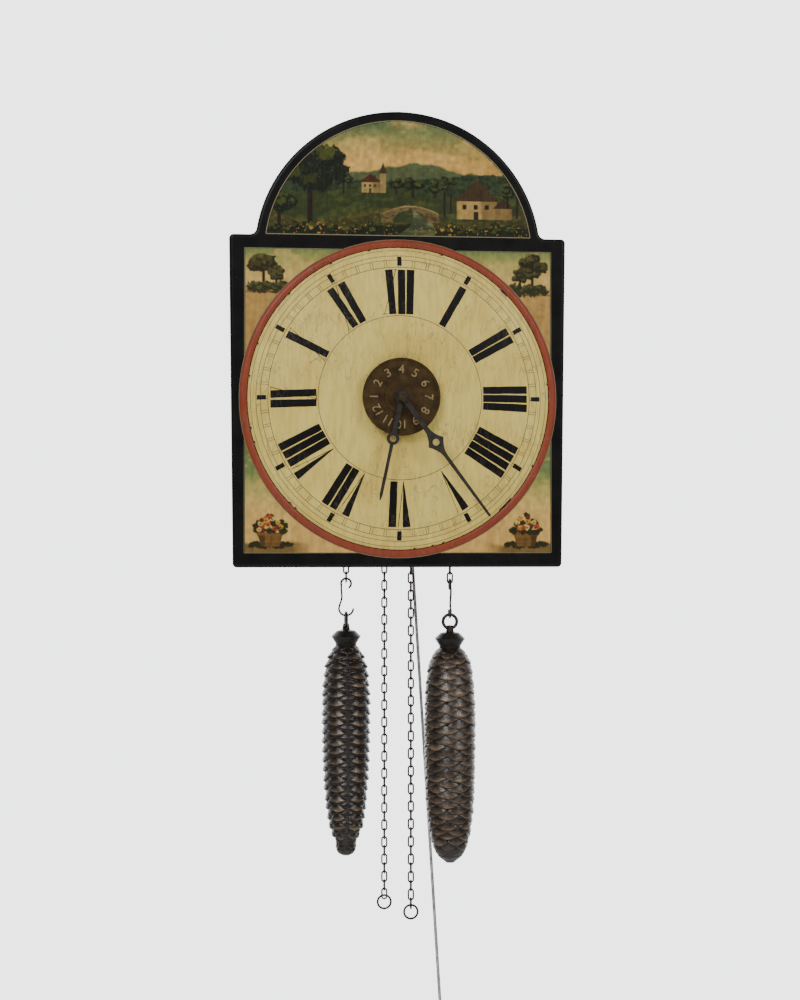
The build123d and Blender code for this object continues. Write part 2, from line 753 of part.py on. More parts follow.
def make_boards():
    """The boards that close the frame above and below, with their slots and holes."""
    wide = (-BOARD_HALF_W, BOARD_HALF_W)
    deep = (FRONT_FACE_Y, BACK_REAR_Y)
    slot_z = CEILING_Z + BOARD_T / 2
    with BuildPart() as board:
        slab(wide, deep, (CEILING_Z, CEILING_Z + BOARD_T))
        with Locations((HAMMER_SLOT_X, BELL_Y, slot_z)):
            Box(HAMMER_SLOT_W, HAMMER_SLOT_D, BOARD_T, mode=Mode.SUBTRACT)
        with BuildSketch(Plane.XY.offset(CEILING_Z)):
            with Locations((BELL_X, BELL_Y)):
                Circle(BELL_POST_R)
        extrude(amount=BOARD_T, mode=Mode.SUBTRACT)
        door_pin_holes(CEILING_Z)
        drill(high_nail_places(), HANGER_NAIL_R, BACK_REAR_Y, HANGER_NAIL_LENGTH)
    save(board.part, "top_board")
    with BuildPart() as board:
        slab(wide, deep, (FLOOR_Z - BOARD_T, FLOOR_Z))
        with BuildSketch(Plane.XY.offset(FLOOR_Z - BOARD_T)):
            for place, y in ((GREAT, GOING_CHAIN_Y), (ALARM, ALARM_CHAIN_Y)):
                with Locations((place[0] - CHAIN_R, y), (place[0] + CHAIN_R, y)):
                    Circle(CHAIN_HOLE_R)
        extrude(amount=BOARD_T, mode=Mode.SUBTRACT)
        door_pin_holes(FLOOR_Z - DOOR_PIN_DEPTH)
    save(board.part, "bottom_board")


def door_pin_holes(bottom_z):
    """Blind holes for the pins of both doors, from a height upwards."""
    with BuildSketch(Plane.XY.offset(bottom_z)) as face:
        with Locations((-DOOR_PIN_X, DOOR_PIN_Y), (DOOR_PIN_X, DOOR_PIN_Y)):
            Circle(DOOR_PIN_R + RUN)
    extrude(face.sketch, amount=DOOR_PIN_DEPTH, mode=Mode.SUBTRACT)


def make_doors():
    """A thin wooden door on each side, hung on wire pins, with a turned knob."""
    for side, name in ((-1, "left"), (1, "right")):
        inner = side * (BOARD_HALF_W - GAP - DOOR_T)
        outer = side * (BOARD_HALF_W - GAP)
        with BuildPart() as door:
            slab(
                (min(inner, outer), max(inner, outer)),
                (FRONT_FACE_Y + DOOR_MARGIN, DOOR_PIN_Y + DOOR_T / 2),
                (FLOOR_Z + GAP, CEILING_Z - GAP),
            )
            height = CEILING_Z - FLOOR_Z + 2 * (DOOR_PIN_DEPTH - 1)
            with Locations((side * DOOR_PIN_X, DOOR_PIN_Y, DIAL_Z)):
                Cylinder(DOOR_PIN_R, height)
            knob_plane = Plane(
                origin=(outer, FRONT_FACE_Y + 12, DIAL_Z - 6), x_dir=(0, 1, 0), z_dir=(side, 0, 0)
            )
            with BuildSketch(knob_plane):
                Circle(DOOR_KNOB_R * 0.6)
            extrude(amount=DOOR_KNOB_LENGTH * 0.5)
            with BuildSketch(knob_plane.offset(DOOR_KNOB_LENGTH * 0.5)):
                Circle(DOOR_KNOB_R)
            extrude(amount=DOOR_KNOB_LENGTH * 0.5)
            knob_rim = door.edges().filter_by(GeomType.CIRCLE).sort_by(Axis.X)
            fillet(knob_rim[-1 if side > 0 else 0], 1.2)
        save(door.part, f"{name}_side_door")


def low_nail_places():
    """Places of the hanger nails that go into the back plate."""
    return [(-HANGER_W / 4, CEILING_Z - 9.5), (HANGER_W / 4, CEILING_Z - 9.5)]


def high_nail_places():
    """Places of the hanger nails that go into the edge of the top board."""
    return [(-HANGER_W / 4, CEILING_Z + 5), (HANGER_W / 4, CEILING_Z + 5)]


def standoff_places():
    """Places of the two wall pegs near the bottom of the back plate."""
    return [(side * STANDOFF_X, FLOOR_Z + STANDOFF_SPIGOT_R + 5) for side in (-1, 1)]


def make_hanger():
    """The iron hanger plate with its hole, its nails and the pegs that rest on the wall."""
    nails = low_nail_places() + high_nail_places()
    with BuildPart() as plate:
        with BuildSketch(front(0.0)):
            with Locations((0, HANGER_RISE - HANGER_LENGTH / 2)):
                RectangleRounded(HANGER_W, HANGER_LENGTH, 5)
            Circle(HANGER_HOLE_R, mode=Mode.SUBTRACT)
            with Locations(*nails):
                Circle(HANGER_NAIL_R, mode=Mode.SUBTRACT)
        extrude(amount=HANGER_T)
    save(plate.part, "hanger_plate")
    with BuildPart() as nail:
        for place in nails:
            disc(0.9, 0.9, place, HANGER_NAIL_HEAD_R)
            disc(0.0, HANGER_T + HANGER_NAIL_LENGTH - 0.5, place, HANGER_NAIL_R)
    save(nail.part, "hanger_nails")
    with BuildPart() as pegs:
        for place in standoff_places():
            disc(WALL_Y, STANDOFF_LENGTH, place, STANDOFF_R)
            disc(BACK_REAR_Y, STANDOFF_SPIGOT_LENGTH, place, STANDOFF_SPIGOT_R)
    save(pegs.part, "wall_pegs")


# Shield


def shield_face():
    """The outline of the shield: a square with slightly tapering sides under a broad arch."""
    foot_x = SHIELD_TOP_HALF_W - SHOULDER_W
    with BuildSketch(front(SHIELD_REAR_Y, CENTRE)) as face:
        with BuildLine():
            Polyline(
                (-foot_x, SHIELD_ABOVE),
                (-SHIELD_TOP_HALF_W, SHIELD_ABOVE),
                (-SHIELD_FOOT_HALF_W, -SHIELD_BELOW),
                (SHIELD_FOOT_HALF_W, -SHIELD_BELOW),
                (SHIELD_TOP_HALF_W, SHIELD_ABOVE),
                (foot_x, SHIELD_ABOVE),
            )
            ThreePointArc(
                (foot_x, SHIELD_ABOVE), (0, SHIELD_ABOVE + ARCH_RISE), (-foot_x, SHIELD_ABOVE)
            )
        make_face()
        corners = face.vertices().sort_by(Axis.X)
        outer = [corners[0], corners[1], corners[-1], corners[-2]]
        fillet(outer, CORNER_R)
        feet = [v for v in face.vertices() if abs(abs(v.X) - foot_x) < 0.01 and v.Z > DIAL_Z]
        fillet(feet, FOOT_COVE_R)
    return face.sketch


def make_shield():
    """The painted board, turned with a raised ring and a domed dial, and its battens."""
    dome_r = RING_R - RING_WIDTH
    sphere_r = (dome_r**2 + DOME_LIFT**2) / (2 * DOME_LIFT)
    rim_y = SHIELD_FACE_Y - RING_LIFT * 0.4
    with BuildPart() as shield:
        extrude(shield_face(), amount=SHIELD_T)
        front_edges = shield.faces().sort_by(Axis.Y)[0].edges()
        fillet(front_edges, SHIELD_EDGE_R)
        with BuildSketch(Plane(origin=(0, 0, DIAL_Z), x_dir=(1, 0, 0), z_dir=(0, 0, 1))):
            with BuildLine():
                Polyline(
                    (0, rim_y - DOME_LIFT),
                    (0, SHIELD_REAR_Y - SHIELD_T / 2),
                    (RING_R, SHIELD_REAR_Y - SHIELD_T / 2),
                    (RING_R, SHIELD_FACE_Y),
                    (RING_R - 1.2, SHIELD_FACE_Y - RING_LIFT),
                    (RING_R - RING_WIDTH + 1.2, SHIELD_FACE_Y - RING_LIFT),
                    (dome_r, rim_y),
                )
                rise = sphere_r - sqrt(sphere_r**2 - (dome_r / 2) ** 2)
                middle = (dome_r / 2, rim_y - DOME_LIFT + rise)
                ThreePointArc((dome_r, rim_y), middle, (0, rim_y - DOME_LIFT))
            make_face()
        revolve(axis=Axis((0, 0, DIAL_Z), (0, 1, 0)))
        disc(SHIELD_REAR_Y, HOLLOW_DEPTH, CENTRE, HOLLOW_R, mode=Mode.SUBTRACT)
        disc(SHIELD_REAR_Y, SHIELD_T + 2 * DOME_LIFT, CENTRE, DIAL_HOLE_R, mode=Mode.SUBTRACT)
    save(shield.part, "shield_board")
    peg_reach = PEG_IN_BATTEN
    for height, name in zip(batten_heights(), ("upper_batten", "lower_batten")):
        with BuildPart() as batten:
            slab(
                (-BATTEN_HALF_L, BATTEN_HALF_L),
                (SHIELD_REAR_Y, FRONT_FACE_Y),
                (height - BATTEN_H / 2, height + BATTEN_H / 2),
            )
            ends = batten.faces().sort_by(Axis.Y)[-1].edges().filter_by(Axis.Z)
            chamfer(ends, BATTEN_BEVEL)
            drill([(-PEG_X, height), (PEG_X, height)], PEG_R, FRONT_FACE_Y, peg_reach)
        save(batten.part, name)
    with BuildPart() as pegs:
        for height in batten_heights():
            for side in (-1, 1):
                disc(FRONT_BACK_Y, PLATE_T + peg_reach - FIT, (side * PEG_X, height), PEG_R)
    save(pegs.part, "shield_pegs")


# Going train


def make_click(place, wheel_rear_y, angle):
    """A small pivoted click on the back of a wheel, with its tip in the ratchet."""
    pivot = polar(place, RATCHET_R + 4.0, angle)
    tip = polar(place, RATCHET_R + 0.4, angle - 24)
    tip = (tip[0] - pivot[0], tip[1] - pivot[1])
    with BuildPart() as click:
        with BuildSketch(front(wheel_rear_y + RATCHET_T + GAP, pivot)):
            Circle(1.6)
            with BuildLine():
                Polyline((-1.2, 0.9), (1.0, -1.4), tip, close=True)
            make_face()
        extrude(amount=RATCHET_T + GAP)
    return click.part


def make_going_train():
    """The great, centre, third and escape wheels on their arbors."""
    great = (GREAT_TEETH, CENTRE_PINS, GREAT_MODULE)
    centre = (CENTRE_TEETH, THIRD_PINS, CENTRE_MODULE)
    third = (THIRD_TEETH, ESCAPE_PINS, THIRD_MODULE)
    with BuildPart() as wheel:
        train_wheel(GREAT_WHEEL_Y, GREAT, great, bearing(GREAT, CENTRE), ARBOR_R)
    group([wheel.part, make_click(GREAT, GREAT_WHEEL_Y, bearing(GREAT, CENTRE) + 90)], "great_wheel")
    with BuildPart() as shaft:
        disc(BACK_FACE_Y - GAP, BACK_FACE_Y - GREAT_WHEEL_Y + 8.0, GREAT, ARBOR_R)
        disc(rear_pivot_end(), rear_pivot_end() - front_pivot_end(), GREAT, PIVOT_R)
    save(shaft.part, "great_arbor")
    with BuildPart() as wheel:
        train_wheel(CENTRE_WHEEL_Y, CENTRE, centre, bearing(CENTRE, THIRD), ARBOR_R)
    save(wheel.part, "centre_wheel")
    with BuildPart() as shaft:
        disc(BACK_FACE_Y - GAP, PLATE_GAP - 2 * GAP, CENTRE, ARBOR_R)
        disc(rear_pivot_end(), PIVOT_LENGTH + 2 * GAP, CENTRE, PIVOT_R)
        front_length = FRONT_BACK_Y + 2 * GAP - MINUTE_HAND_Y + HAND_T + NUT_LENGTH
        disc(FRONT_BACK_Y + 2 * GAP, front_length, CENTRE, CENTRE_ARBOR_R)
        angle = bearing(CENTRE, GREAT)
        lantern(CENTRE_PINION_Y, LANTERN_LENGTH, CENTRE, CENTRE_PINS, GREAT_MODULE, angle)
    save(shaft.part, "centre_arbor")
    with BuildPart() as wheel:
        train_wheel(THIRD_WHEEL_Y, THIRD, third, bearing(THIRD, ESCAPE), ARBOR_R)
    save(wheel.part, "third_wheel")
    with BuildPart() as shaft:
        arbor(THIRD, rear_pivot_end(), front_pivot_end())
        angle = bearing(THIRD, CENTRE)
        lantern(THIRD_PINION_Y, LANTERN_LENGTH, THIRD, THIRD_PINS, CENTRE_MODULE, angle)
    save(shaft.part, "third_arbor")
    with BuildPart() as wheel:
        pointed_wheel(ESCAPE_WHEEL_Y, ESCAPE, ESCAPE_TEETH, (ESCAPE_R, ESCAPE_ROOT_R), ESCAPE_TIP_ANGLE)
    save(wheel.part, "escape_wheel")
    with BuildPart() as shaft:
        arbor(ESCAPE, rear_pivot_end(), front_pivot_end())
        angle = bearing(ESCAPE, THIRD)
        lantern(ESCAPE_PINION_Y, LANTERN_LENGTH, ESCAPE, ESCAPE_PINS, THIRD_MODULE, angle)
    save(shaft.part, "escape_arbor")


def pointed_wheel(rear_y, place, teeth, radii, tip_angle):
    """A wheel with narrow pointed teeth, one of them at an angle in degrees."""
    tip_r, root_r = radii
    pitch = 360 / teeth
    points = []
    for tooth in range(teeth):
        middle = tip_angle + tooth * pitch
        points.append(polar((0, 0), root_r, middle - 3.2))
        points.append(polar((0, 0), tip_r, middle - 0.6))
        points.append(polar((0, 0), tip_r, middle + 0.6))
        points.append(polar((0, 0), root_r, middle + 3.2))
    with BuildSketch(front(rear_y, place)) as face:
        with BuildLine():
            Polyline(*points, close=True)
        make_face()
    extrude(face.sketch, amount=WHEEL_T)
    crossings(rear_y, WHEEL_T, place, root_r - 2.0, COLLET_R + 0.6, 2.2)
    disc(rear_y + COLLET_T, COLLET_T, place, COLLET_R - 0.8)
    disc(rear_y + COLLET_T, 2 * COLLET_T + WHEEL_T, place, ARBOR_R, mode=Mode.SUBTRACT)


# Motion work and hands


def make_motion_work():
    """The lantern cannon, minute wheel, hour wheel and alarm pipe between plate and dial."""
    pin_angle = MINUTE_ANGLE
    with BuildPart() as cannon:
        lantern(
            CANNON_PINION_Y, CANNON_PINION_LENGTH, CENTRE, CANNON_PINS, MINUTE_MODULE, pin_angle
        )
        pipe_length = CANNON_PINION_Y - MINUTE_HAND_Y
        disc(CANNON_PINION_Y, pipe_length, CENTRE, CANNON_PIPE_R)
        disc(CANNON_PINION_Y, pipe_length, CENTRE, CENTRE_ARBOR_R + FIT, mode=Mode.SUBTRACT)
    save(cannon.part, "cannon_pinion")
    counts = (MINUTE_TEETH, CANNON_PINS, MINUTE_MODULE)
    pinion_rear = MINUTE_WHEEL_Y - MINUTE_WHEEL_T
    with BuildPart() as wheel:
        with BuildSketch(front(MINUTE_WHEEL_Y, MINUTE)):
            with BuildLine():
                Polyline(*wheel_points(*counts, bearing(MINUTE, CENTRE)), close=True)
            make_face()
        extrude(amount=MINUTE_WHEEL_T)
        crossings(MINUTE_WHEEL_Y, MINUTE_WHEEL_T, MINUTE, 10.5, 6.4, 2.0)
        lantern(
            pinion_rear,
            MINUTE_PINION_LENGTH,
            MINUTE,
            MINUTE_PINS,
            HOUR_MODULE,
            bearing(MINUTE, CENTRE),
        )
        bore = MINUTE_PINION_LENGTH + MINUTE_WHEEL_T
        disc(MINUTE_WHEEL_Y, bore, MINUTE, STUD_R + 0.7)
        disc(MINUTE_WHEEL_Y, bore, MINUTE, STUD_R + RUN, mode=Mode.SUBTRACT)
    save(wheel.part, "minute_wheel")
    with BuildPart() as stud:
        stud_length = FRONT_BACK_Y - pinion_rear + MINUTE_PINION_LENGTH + 0.8
        disc(FRONT_BACK_Y, stud_length, MINUTE, STUD_R)
        disc(FRONT_FACE_Y, FRONT_FACE_Y - MINUTE_WHEEL_Y - GAP, MINUTE, STUD_R + 1.2)
    save(stud.part, "minute_stud")
    with BuildPart() as wheel:
        counts = (HOUR_TEETH, MINUTE_PINS, HOUR_MODULE)
        with BuildSketch(front(HOUR_WHEEL_Y, CENTRE)):
            with BuildLine():
                Polyline(*wheel_points(*counts, bearing(CENTRE, MINUTE)), close=True)
            make_face()
        extrude(amount=HOUR_WHEEL_T)
        crossings(HOUR_WHEEL_Y, HOUR_WHEEL_T, CENTRE, 11.0, 5.6, 2.2)
        disc(HOUR_WHEEL_Y, HOUR_WHEEL_Y - HOUR_HAND_Y, CENTRE, HOUR_PIPE_R)
        pipe_length = HOUR_WHEEL_Y - HOUR_HAND_Y
        disc(HOUR_WHEEL_Y, pipe_length, CENTRE, CANNON_PIPE_R + RUN, mode=Mode.SUBTRACT)
    save(wheel.part, "hour_wheel")
    make_alarm_disc()


def make_alarm_disc():
    """The notched cam on its pipe, and the setting disc on the front end of the pipe."""
    with BuildPart() as cam:
        disc(CAM_Y, CAM_T, CENTRE, CAM_R)
        notch_place = polar(CENTRE, CAM_R, bearing(CENTRE, LEVER))
        disc(CAM_Y, CAM_T, notch_place, CAM_NOTCH, mode=Mode.SUBTRACT)
        disc(CAM_Y, CAM_Y - ALARM_DISC_Y + ALARM_DISC_T, CENTRE, ALARM_PIPE_R)
        bore = CAM_Y - ALARM_DISC_Y + ALARM_DISC_T
        disc(CAM_Y, bore, CENTRE, HOUR_PIPE_R + RUN, mode=Mode.SUBTRACT)
    save(cam.part, "alarm_cam")
    with BuildPart() as dial:
        disc(ALARM_DISC_Y, ALARM_DISC_T, CENTRE, ALARM_DISC_R)
        front_y = ALARM_DISC_Y - ALARM_DISC_T
        disc(front_y, ALARM_BOSS_LIFT * 0.5, CENTRE, ALARM_BOSS_R + 3.0)
        disc(front_y, ALARM_BOSS_LIFT, CENTRE, ALARM_BOSS_R)
        tube(front_y, 0.5, CENTRE, ALARM_DISC_R, ALARM_DISC_R - 1.4)
        rear = ALARM_DISC_Y
        disc(rear, ALARM_DISC_T, CENTRE, ALARM_PIPE_R, mode=Mode.SUBTRACT)
        disc(front_y, ALARM_BOSS_LIFT, CENTRE, HOUR_PIPE_R + GAP, mode=Mode.SUBTRACT)
    save(dial.part, "alarm_disc")


def hand_outline(points):
    """A flat symmetrical blade from (half width, reach) points, first to last."""
    right = [(half, reach) for half, reach in points]
    left = [(-half, reach) for half, reach in reversed(points)]
    with BuildLine() as outline:
        Polyline(*right, *left, close=True)
    make_face(outline.edges())


def make_hands():
    """The two pressed metal hands: minute with a pierced diamond, hour with a pierced ring."""
    diamond = []
    for step in range(9):
        share = step / 8
        reach = MINUTE_RING_REACH - 11.5 + 23.0 * share
        bulge = 1 - abs(2 * share - 1)
        half = 1.7 - 0.35 * share + 4.9 * bulge**1.9
        diamond.append((half, reach))
    blade = [(1.9, 3.0)] + diamond + [(0.9, MINUTE_HAND_LENGTH - 1.5), (0.25, MINUTE_HAND_LENGTH)]
    with BuildPart() as hand:
        with BuildSketch(front(MINUTE_HAND_Y, CENTRE, -MINUTE_TURN)):
            hand_outline(blade)
            Circle(HAND_BOSS_R)
            Circle(CENTRE_ARBOR_R + FIT, mode=Mode.SUBTRACT)
            with Locations((0, MINUTE_RING_REACH)):
                Circle(2.4, mode=Mode.SUBTRACT)
        extrude(amount=HAND_T)
    save(hand.part, "minute_hand")
    blade = [
        (2.0, 3.0),
        (1.7, HOUR_RING_REACH - 5.0),
        (1.2, HOUR_RING_REACH + 5.0),
        (1.1, HOUR_HAND_LENGTH - 4),
        (0.3, HOUR_HAND_LENGTH),
    ]
    with BuildPart() as hand:
        with BuildSketch(front(HOUR_HAND_Y + HAND_T, CENTRE, -HOUR_TURN)):
            hand_outline(blade)
            with Locations((0, HOUR_RING_REACH)):
                Circle(4.5)
                Circle(2.3, mode=Mode.SUBTRACT)
            Circle(HAND_BOSS_R + 1.6)
            Circle(HOUR_PIPE_R, mode=Mode.SUBTRACT)
        extrude(amount=HAND_T)
    save(hand.part, "hour_hand")
    with BuildPart() as nut:
        nut_y = MINUTE_HAND_Y - HAND_T
        disc(nut_y, NUT_LENGTH, CENTRE, NUT_R)
        disc(nut_y - NUT_LENGTH, NUT_TIP, CENTRE, NUT_R - 1.3)
        disc(nut_y, NUT_LENGTH, CENTRE, CENTRE_ARBOR_R, mode=Mode.SUBTRACT)
    save(nut.part, "hand_nut")


# Escapement and pendulum


def nib_points():
    """The right hand nib of the anchor, which points at the middle of the escape wheel."""
    diagonal = sqrt(0.5)
    tip = ESCAPE_R * diagonal + NIB_LIFT * diagonal
    drop = -ESCAPE_R * diagonal + NIB_LIFT * diagonal
    out = NIB_LENGTH * diagonal
    side = PALLET_HALF * diagonal
    return [
        (tip + side + out, drop - side + out),
        (tip + side, drop - side),
        (tip - side, drop + side),
        (tip - side + out, drop + side + out),
    ]


def make_escapement():
    """The anchor over the escape wheel, its arbor and the crutch that leads the pendulum."""
    centre_y = ESCAPE_WHEEL_Y - WHEEL_T / 2
    with BuildPart() as anchor:
        with BuildSketch(front(centre_y + PALLET_T / 2, ANCHOR, SWING_AT_REST)):
            half = nib_points() + [(9.6, -5.4), (2.2, -3.6)]
            left = [(-x, z) for x, z in reversed(half)]
            with BuildLine():
                Polyline((3.4, 3.0), (14.2, -5.2), *half, *left, (-14.2, -5.2), (-3.4, 3.0), close=True)
            make_face()
            Circle(ARBOR_R, mode=Mode.SUBTRACT)
        extrude(amount=PALLET_T)
    save(anchor.part, "anchor")
    with BuildPart() as shaft:
        disc(BACK_FACE_Y - GAP, PLATE_GAP - 2 * GAP, ANCHOR, ARBOR_R)
        disc(FRONT_BACK_Y + GAP, PIVOT_LENGTH, ANCHOR, PIVOT_R)
        disc(CRUTCH_Y + 1.4, CRUTCH_Y + 1.4 - BACK_FACE_Y + GAP, ANCHOR, ARBOR_R)
    save(shaft.part, "anchor_arbor")
    crutch_plane = front(CRUTCH_Y, ANCHOR, SWING_AT_REST)
    with BuildPart() as crutch:
        disc(CRUTCH_Y + 1.2, 2.4, ANCHOR, CRUTCH_COLLET_R)
        disc(CRUTCH_Y + 1.2, 2.4, ANCHOR, ARBOR_R, mode=Mode.SUBTRACT)
        arm = Plane(
            origin=crutch_plane.from_local_coords((0, -CRUTCH_COLLET_R + 0.4, 0)),
            z_dir=-crutch_plane.y_dir,
        )
        with BuildSketch(arm):
            Circle(CRUTCH_R)
        extrude(amount=CRUTCH_LENGTH)
        with BuildSketch(crutch_plane):
            with Locations((0, -CRUTCH_LENGTH - CRUTCH_COLLET_R)):
                Rectangle(2 * (ROD_R + FORK_PLAY + 1.4), 2.2)
        extrude(amount=CRUTCH_R, both=True)
        fork_shift = ROD_R + FORK_PLAY + 0.7
        with BuildSketch(front(PENDULUM_Y + ROD_R + 1.0, ANCHOR, SWING_AT_REST)):
            with Locations(
                (-fork_shift, -CRUTCH_LENGTH - CRUTCH_COLLET_R),
                (fork_shift, -CRUTCH_LENGTH - CRUTCH_COLLET_R),
            ):
                Rectangle(1.4, 2.2)
        extrude(amount=PENDULUM_Y + ROD_R + 1.0 - CRUTCH_Y)
    save(crutch.part, "crutch")


def bracket_screw_place():
    """Place of the screw that holds the pendulum bracket."""
    return (ANCHOR[0] + 8.0, ANCHOR[1] + 9.0)


def make_pendulum():
    """The bracket, the wire rod with its top loop and the bob with its rating nut."""
    x, z = ANCHOR
    bracket_rear = PENDULUM_Y + 4.5
    arm_z = z + 10.0
    screw = bracket_screw_place()
    with BuildPart() as bracket:
        slab((x + 3.5, x + 12.0), (BACK_REAR_Y, BACK_REAR_Y + BRACKET_T), (z + 5.0, z + 13.0))
        slab((x - 3.0, x + 12.0), (BACK_REAR_Y + BRACKET_T - 0.2, bracket_rear), (arm_z, arm_z + 2.0))
        slab((x - 3.0, x + 3.0), (bracket_rear - BRACKET_T, bracket_rear), (z - 2.6, arm_z + 2.0))
        disc(bracket_rear - 1.0, BRACKET_PIN_LENGTH, ANCHOR, BRACKET_PIN_R)
        drill([screw], HANGER_NAIL_R, BACK_REAR_Y + BRACKET_T, BRACKET_T)
        disc(BACK_REAR_Y + BRACKET_T, BRACKET_T + HANGER_NAIL_LENGTH - 0.5, screw, HANGER_NAIL_R)
        disc(BACK_REAR_Y + BRACKET_T + 0.9, 0.9, screw, HANGER_NAIL_HEAD_R)
    save(bracket.part, "pendulum_bracket")
    loop_r = BRACKET_PIN_R + RUN + ROD_R
    rod_plane = front(PENDULUM_Y, ANCHOR, SWING_AT_REST)
    down = -rod_plane.y_dir
    with BuildPart() as rod:
        with Locations(Plane(origin=(x, PENDULUM_Y, z), z_dir=(0, 1, 0))):
            Torus(loop_r, ROD_R)
        start = rod_plane.from_local_coords((0, -loop_r, 0))
        with BuildSketch(Plane(origin=start, z_dir=down)):
            Circle(ROD_R)
        extrude(amount=PENDULUM_LENGTH + ROD_TAIL - loop_r)
    save(rod.part, "pendulum_rod")
    bob_centre = rod_plane.from_local_coords((0, -PENDULUM_LENGTH, 0))
    bob_plane = Plane(origin=bob_centre, x_dir=rod_plane.x_dir, z_dir=(0, -1, 0))
    with BuildPart() as bob:
        with BuildSketch(Plane(origin=bob_centre, x_dir=rod_plane.x_dir, z_dir=rod_plane.y_dir)):
            with BuildLine():
                Polyline(
                    (0, -BOB_T / 2),
                    (BOB_R * 0.55, -BOB_T / 2 + 0.9),
                    (BOB_R, -BOB_RIM_T / 2),
                    (BOB_R, BOB_RIM_T / 2),
                    (BOB_R * 0.55, BOB_T / 2 - 0.9),
                    (0, BOB_T / 2),
                    close=True,
                )
            make_face()
        revolve(axis=Axis(bob_centre, (0, 1, 0)))
        with BuildSketch(Plane(origin=bob_centre, z_dir=down)):
            Circle(ROD_R)
        extrude(amount=BOB_R + 1, both=True, mode=Mode.SUBTRACT)
    save(bob.part, "pendulum_bob")
    nut_start = bob_plane.from_local_coords((0, -BOB_R - FIT, 0))
    with BuildPart() as nut:
        with BuildSketch(Plane(origin=nut_start, z_dir=down)):
            RegularPolygon(4.2, 6)
            Circle(ROD_R, mode=Mode.SUBTRACT)
        extrude(amount=3.2)
    save(nut.part, "rating_nut")


# Alarm


def make_alarm_train():
    """The alarm wheel and arbor, the hammer with its verge and the lever the cam lets down."""
    with BuildPart() as wheel:
        angle = bearing(ALARM, HAMMER) + 180 / ALARM_TEETH / 2 + 180
        pointed_wheel(ALARM_WHEEL_Y, ALARM, ALARM_TEETH, (ALARM_WHEEL_R, ALARM_ROOT_R), angle)
    save(wheel.part, "alarm_wheel")
    with BuildPart() as shaft:
        arbor(ALARM, rear_pivot_end(), front_pivot_end())
    save(shaft.part, "alarm_arbor")
    arm_foot = (HAMMER[0], BELL_Y, HAMMER[1])
    bell_rim_z = CEILING_Z + BOARD_T + BELL_MOUTH_OVER_BOARD
    head_z = bell_rim_z + 2.5
    head_x = BELL_X + BELL_R + HAMMER_GAP
    arm_top = (head_x + HAMMER_HEAD_LENGTH / 2, BELL_Y, head_z)
    with BuildPart() as hammer:
        arbor(HAMMER, rear_pivot_end(), front_pivot_end())
        disc(BELL_Y + 2.5, 5.0, HAMMER, 3.6)
        way = Vector(*arm_top) - Vector(*arm_foot)
        with BuildSketch(Plane(origin=arm_foot, z_dir=way.normalized())):
            Circle(HAMMER_WIRE_R)
        extrude(amount=way.length)
        with BuildSketch(Plane(origin=(head_x, BELL_Y, head_z), z_dir=(1, 0, 0))):
            Circle(HAMMER_HEAD_R)
        extrude(amount=HAMMER_HEAD_LENGTH)
        towards = bearing(HAMMER, ALARM)
        with BuildSketch(front(ALARM_WHEEL_Y + 1.0, HAMMER, towards)):
            Circle(3.6)
            with Locations((3.6, 0)):
                Rectangle(3.0, 13.0)
            with Locations((4.6, -VERGE_HALF), (4.6, VERGE_HALF)):
                Rectangle(3.6, 1.6)
            Circle(ARBOR_R, mode=Mode.SUBTRACT)
        extrude(amount=WHEEL_T + 2.0)
    save(hammer.part, "alarm_hammer")
    cam_reach = hypot(LEVER[0] - CENTRE[0], LEVER[1] - CENTRE[1]) - CAM_R - GAP
    with BuildPart() as lever:
        disc(LEVER_REAR_Y, LEVER_REAR_Y - CAM_Y + CAM_T, LEVER, ARBOR_R)
        for plane_y, end, width in (
            (CAM_Y, polar(LEVER, cam_reach, bearing(LEVER, CENTRE)), 2.6),
            (LEVER_REAR_Y, polar(LEVER, LEVER_STOP_REACH, bearing(LEVER, HAMMER) + 24), 2.6),
        ):
            reach = hypot(end[0] - LEVER[0], end[1] - LEVER[1])
            with BuildSketch(front(plane_y, LEVER, bearing(LEVER, end))):
                Circle(3.2)
                with Locations((reach / 2, 0)):
                    Rectangle(reach, width)
            extrude(amount=CAM_T)
    save(lever.part, "alarm_lever")


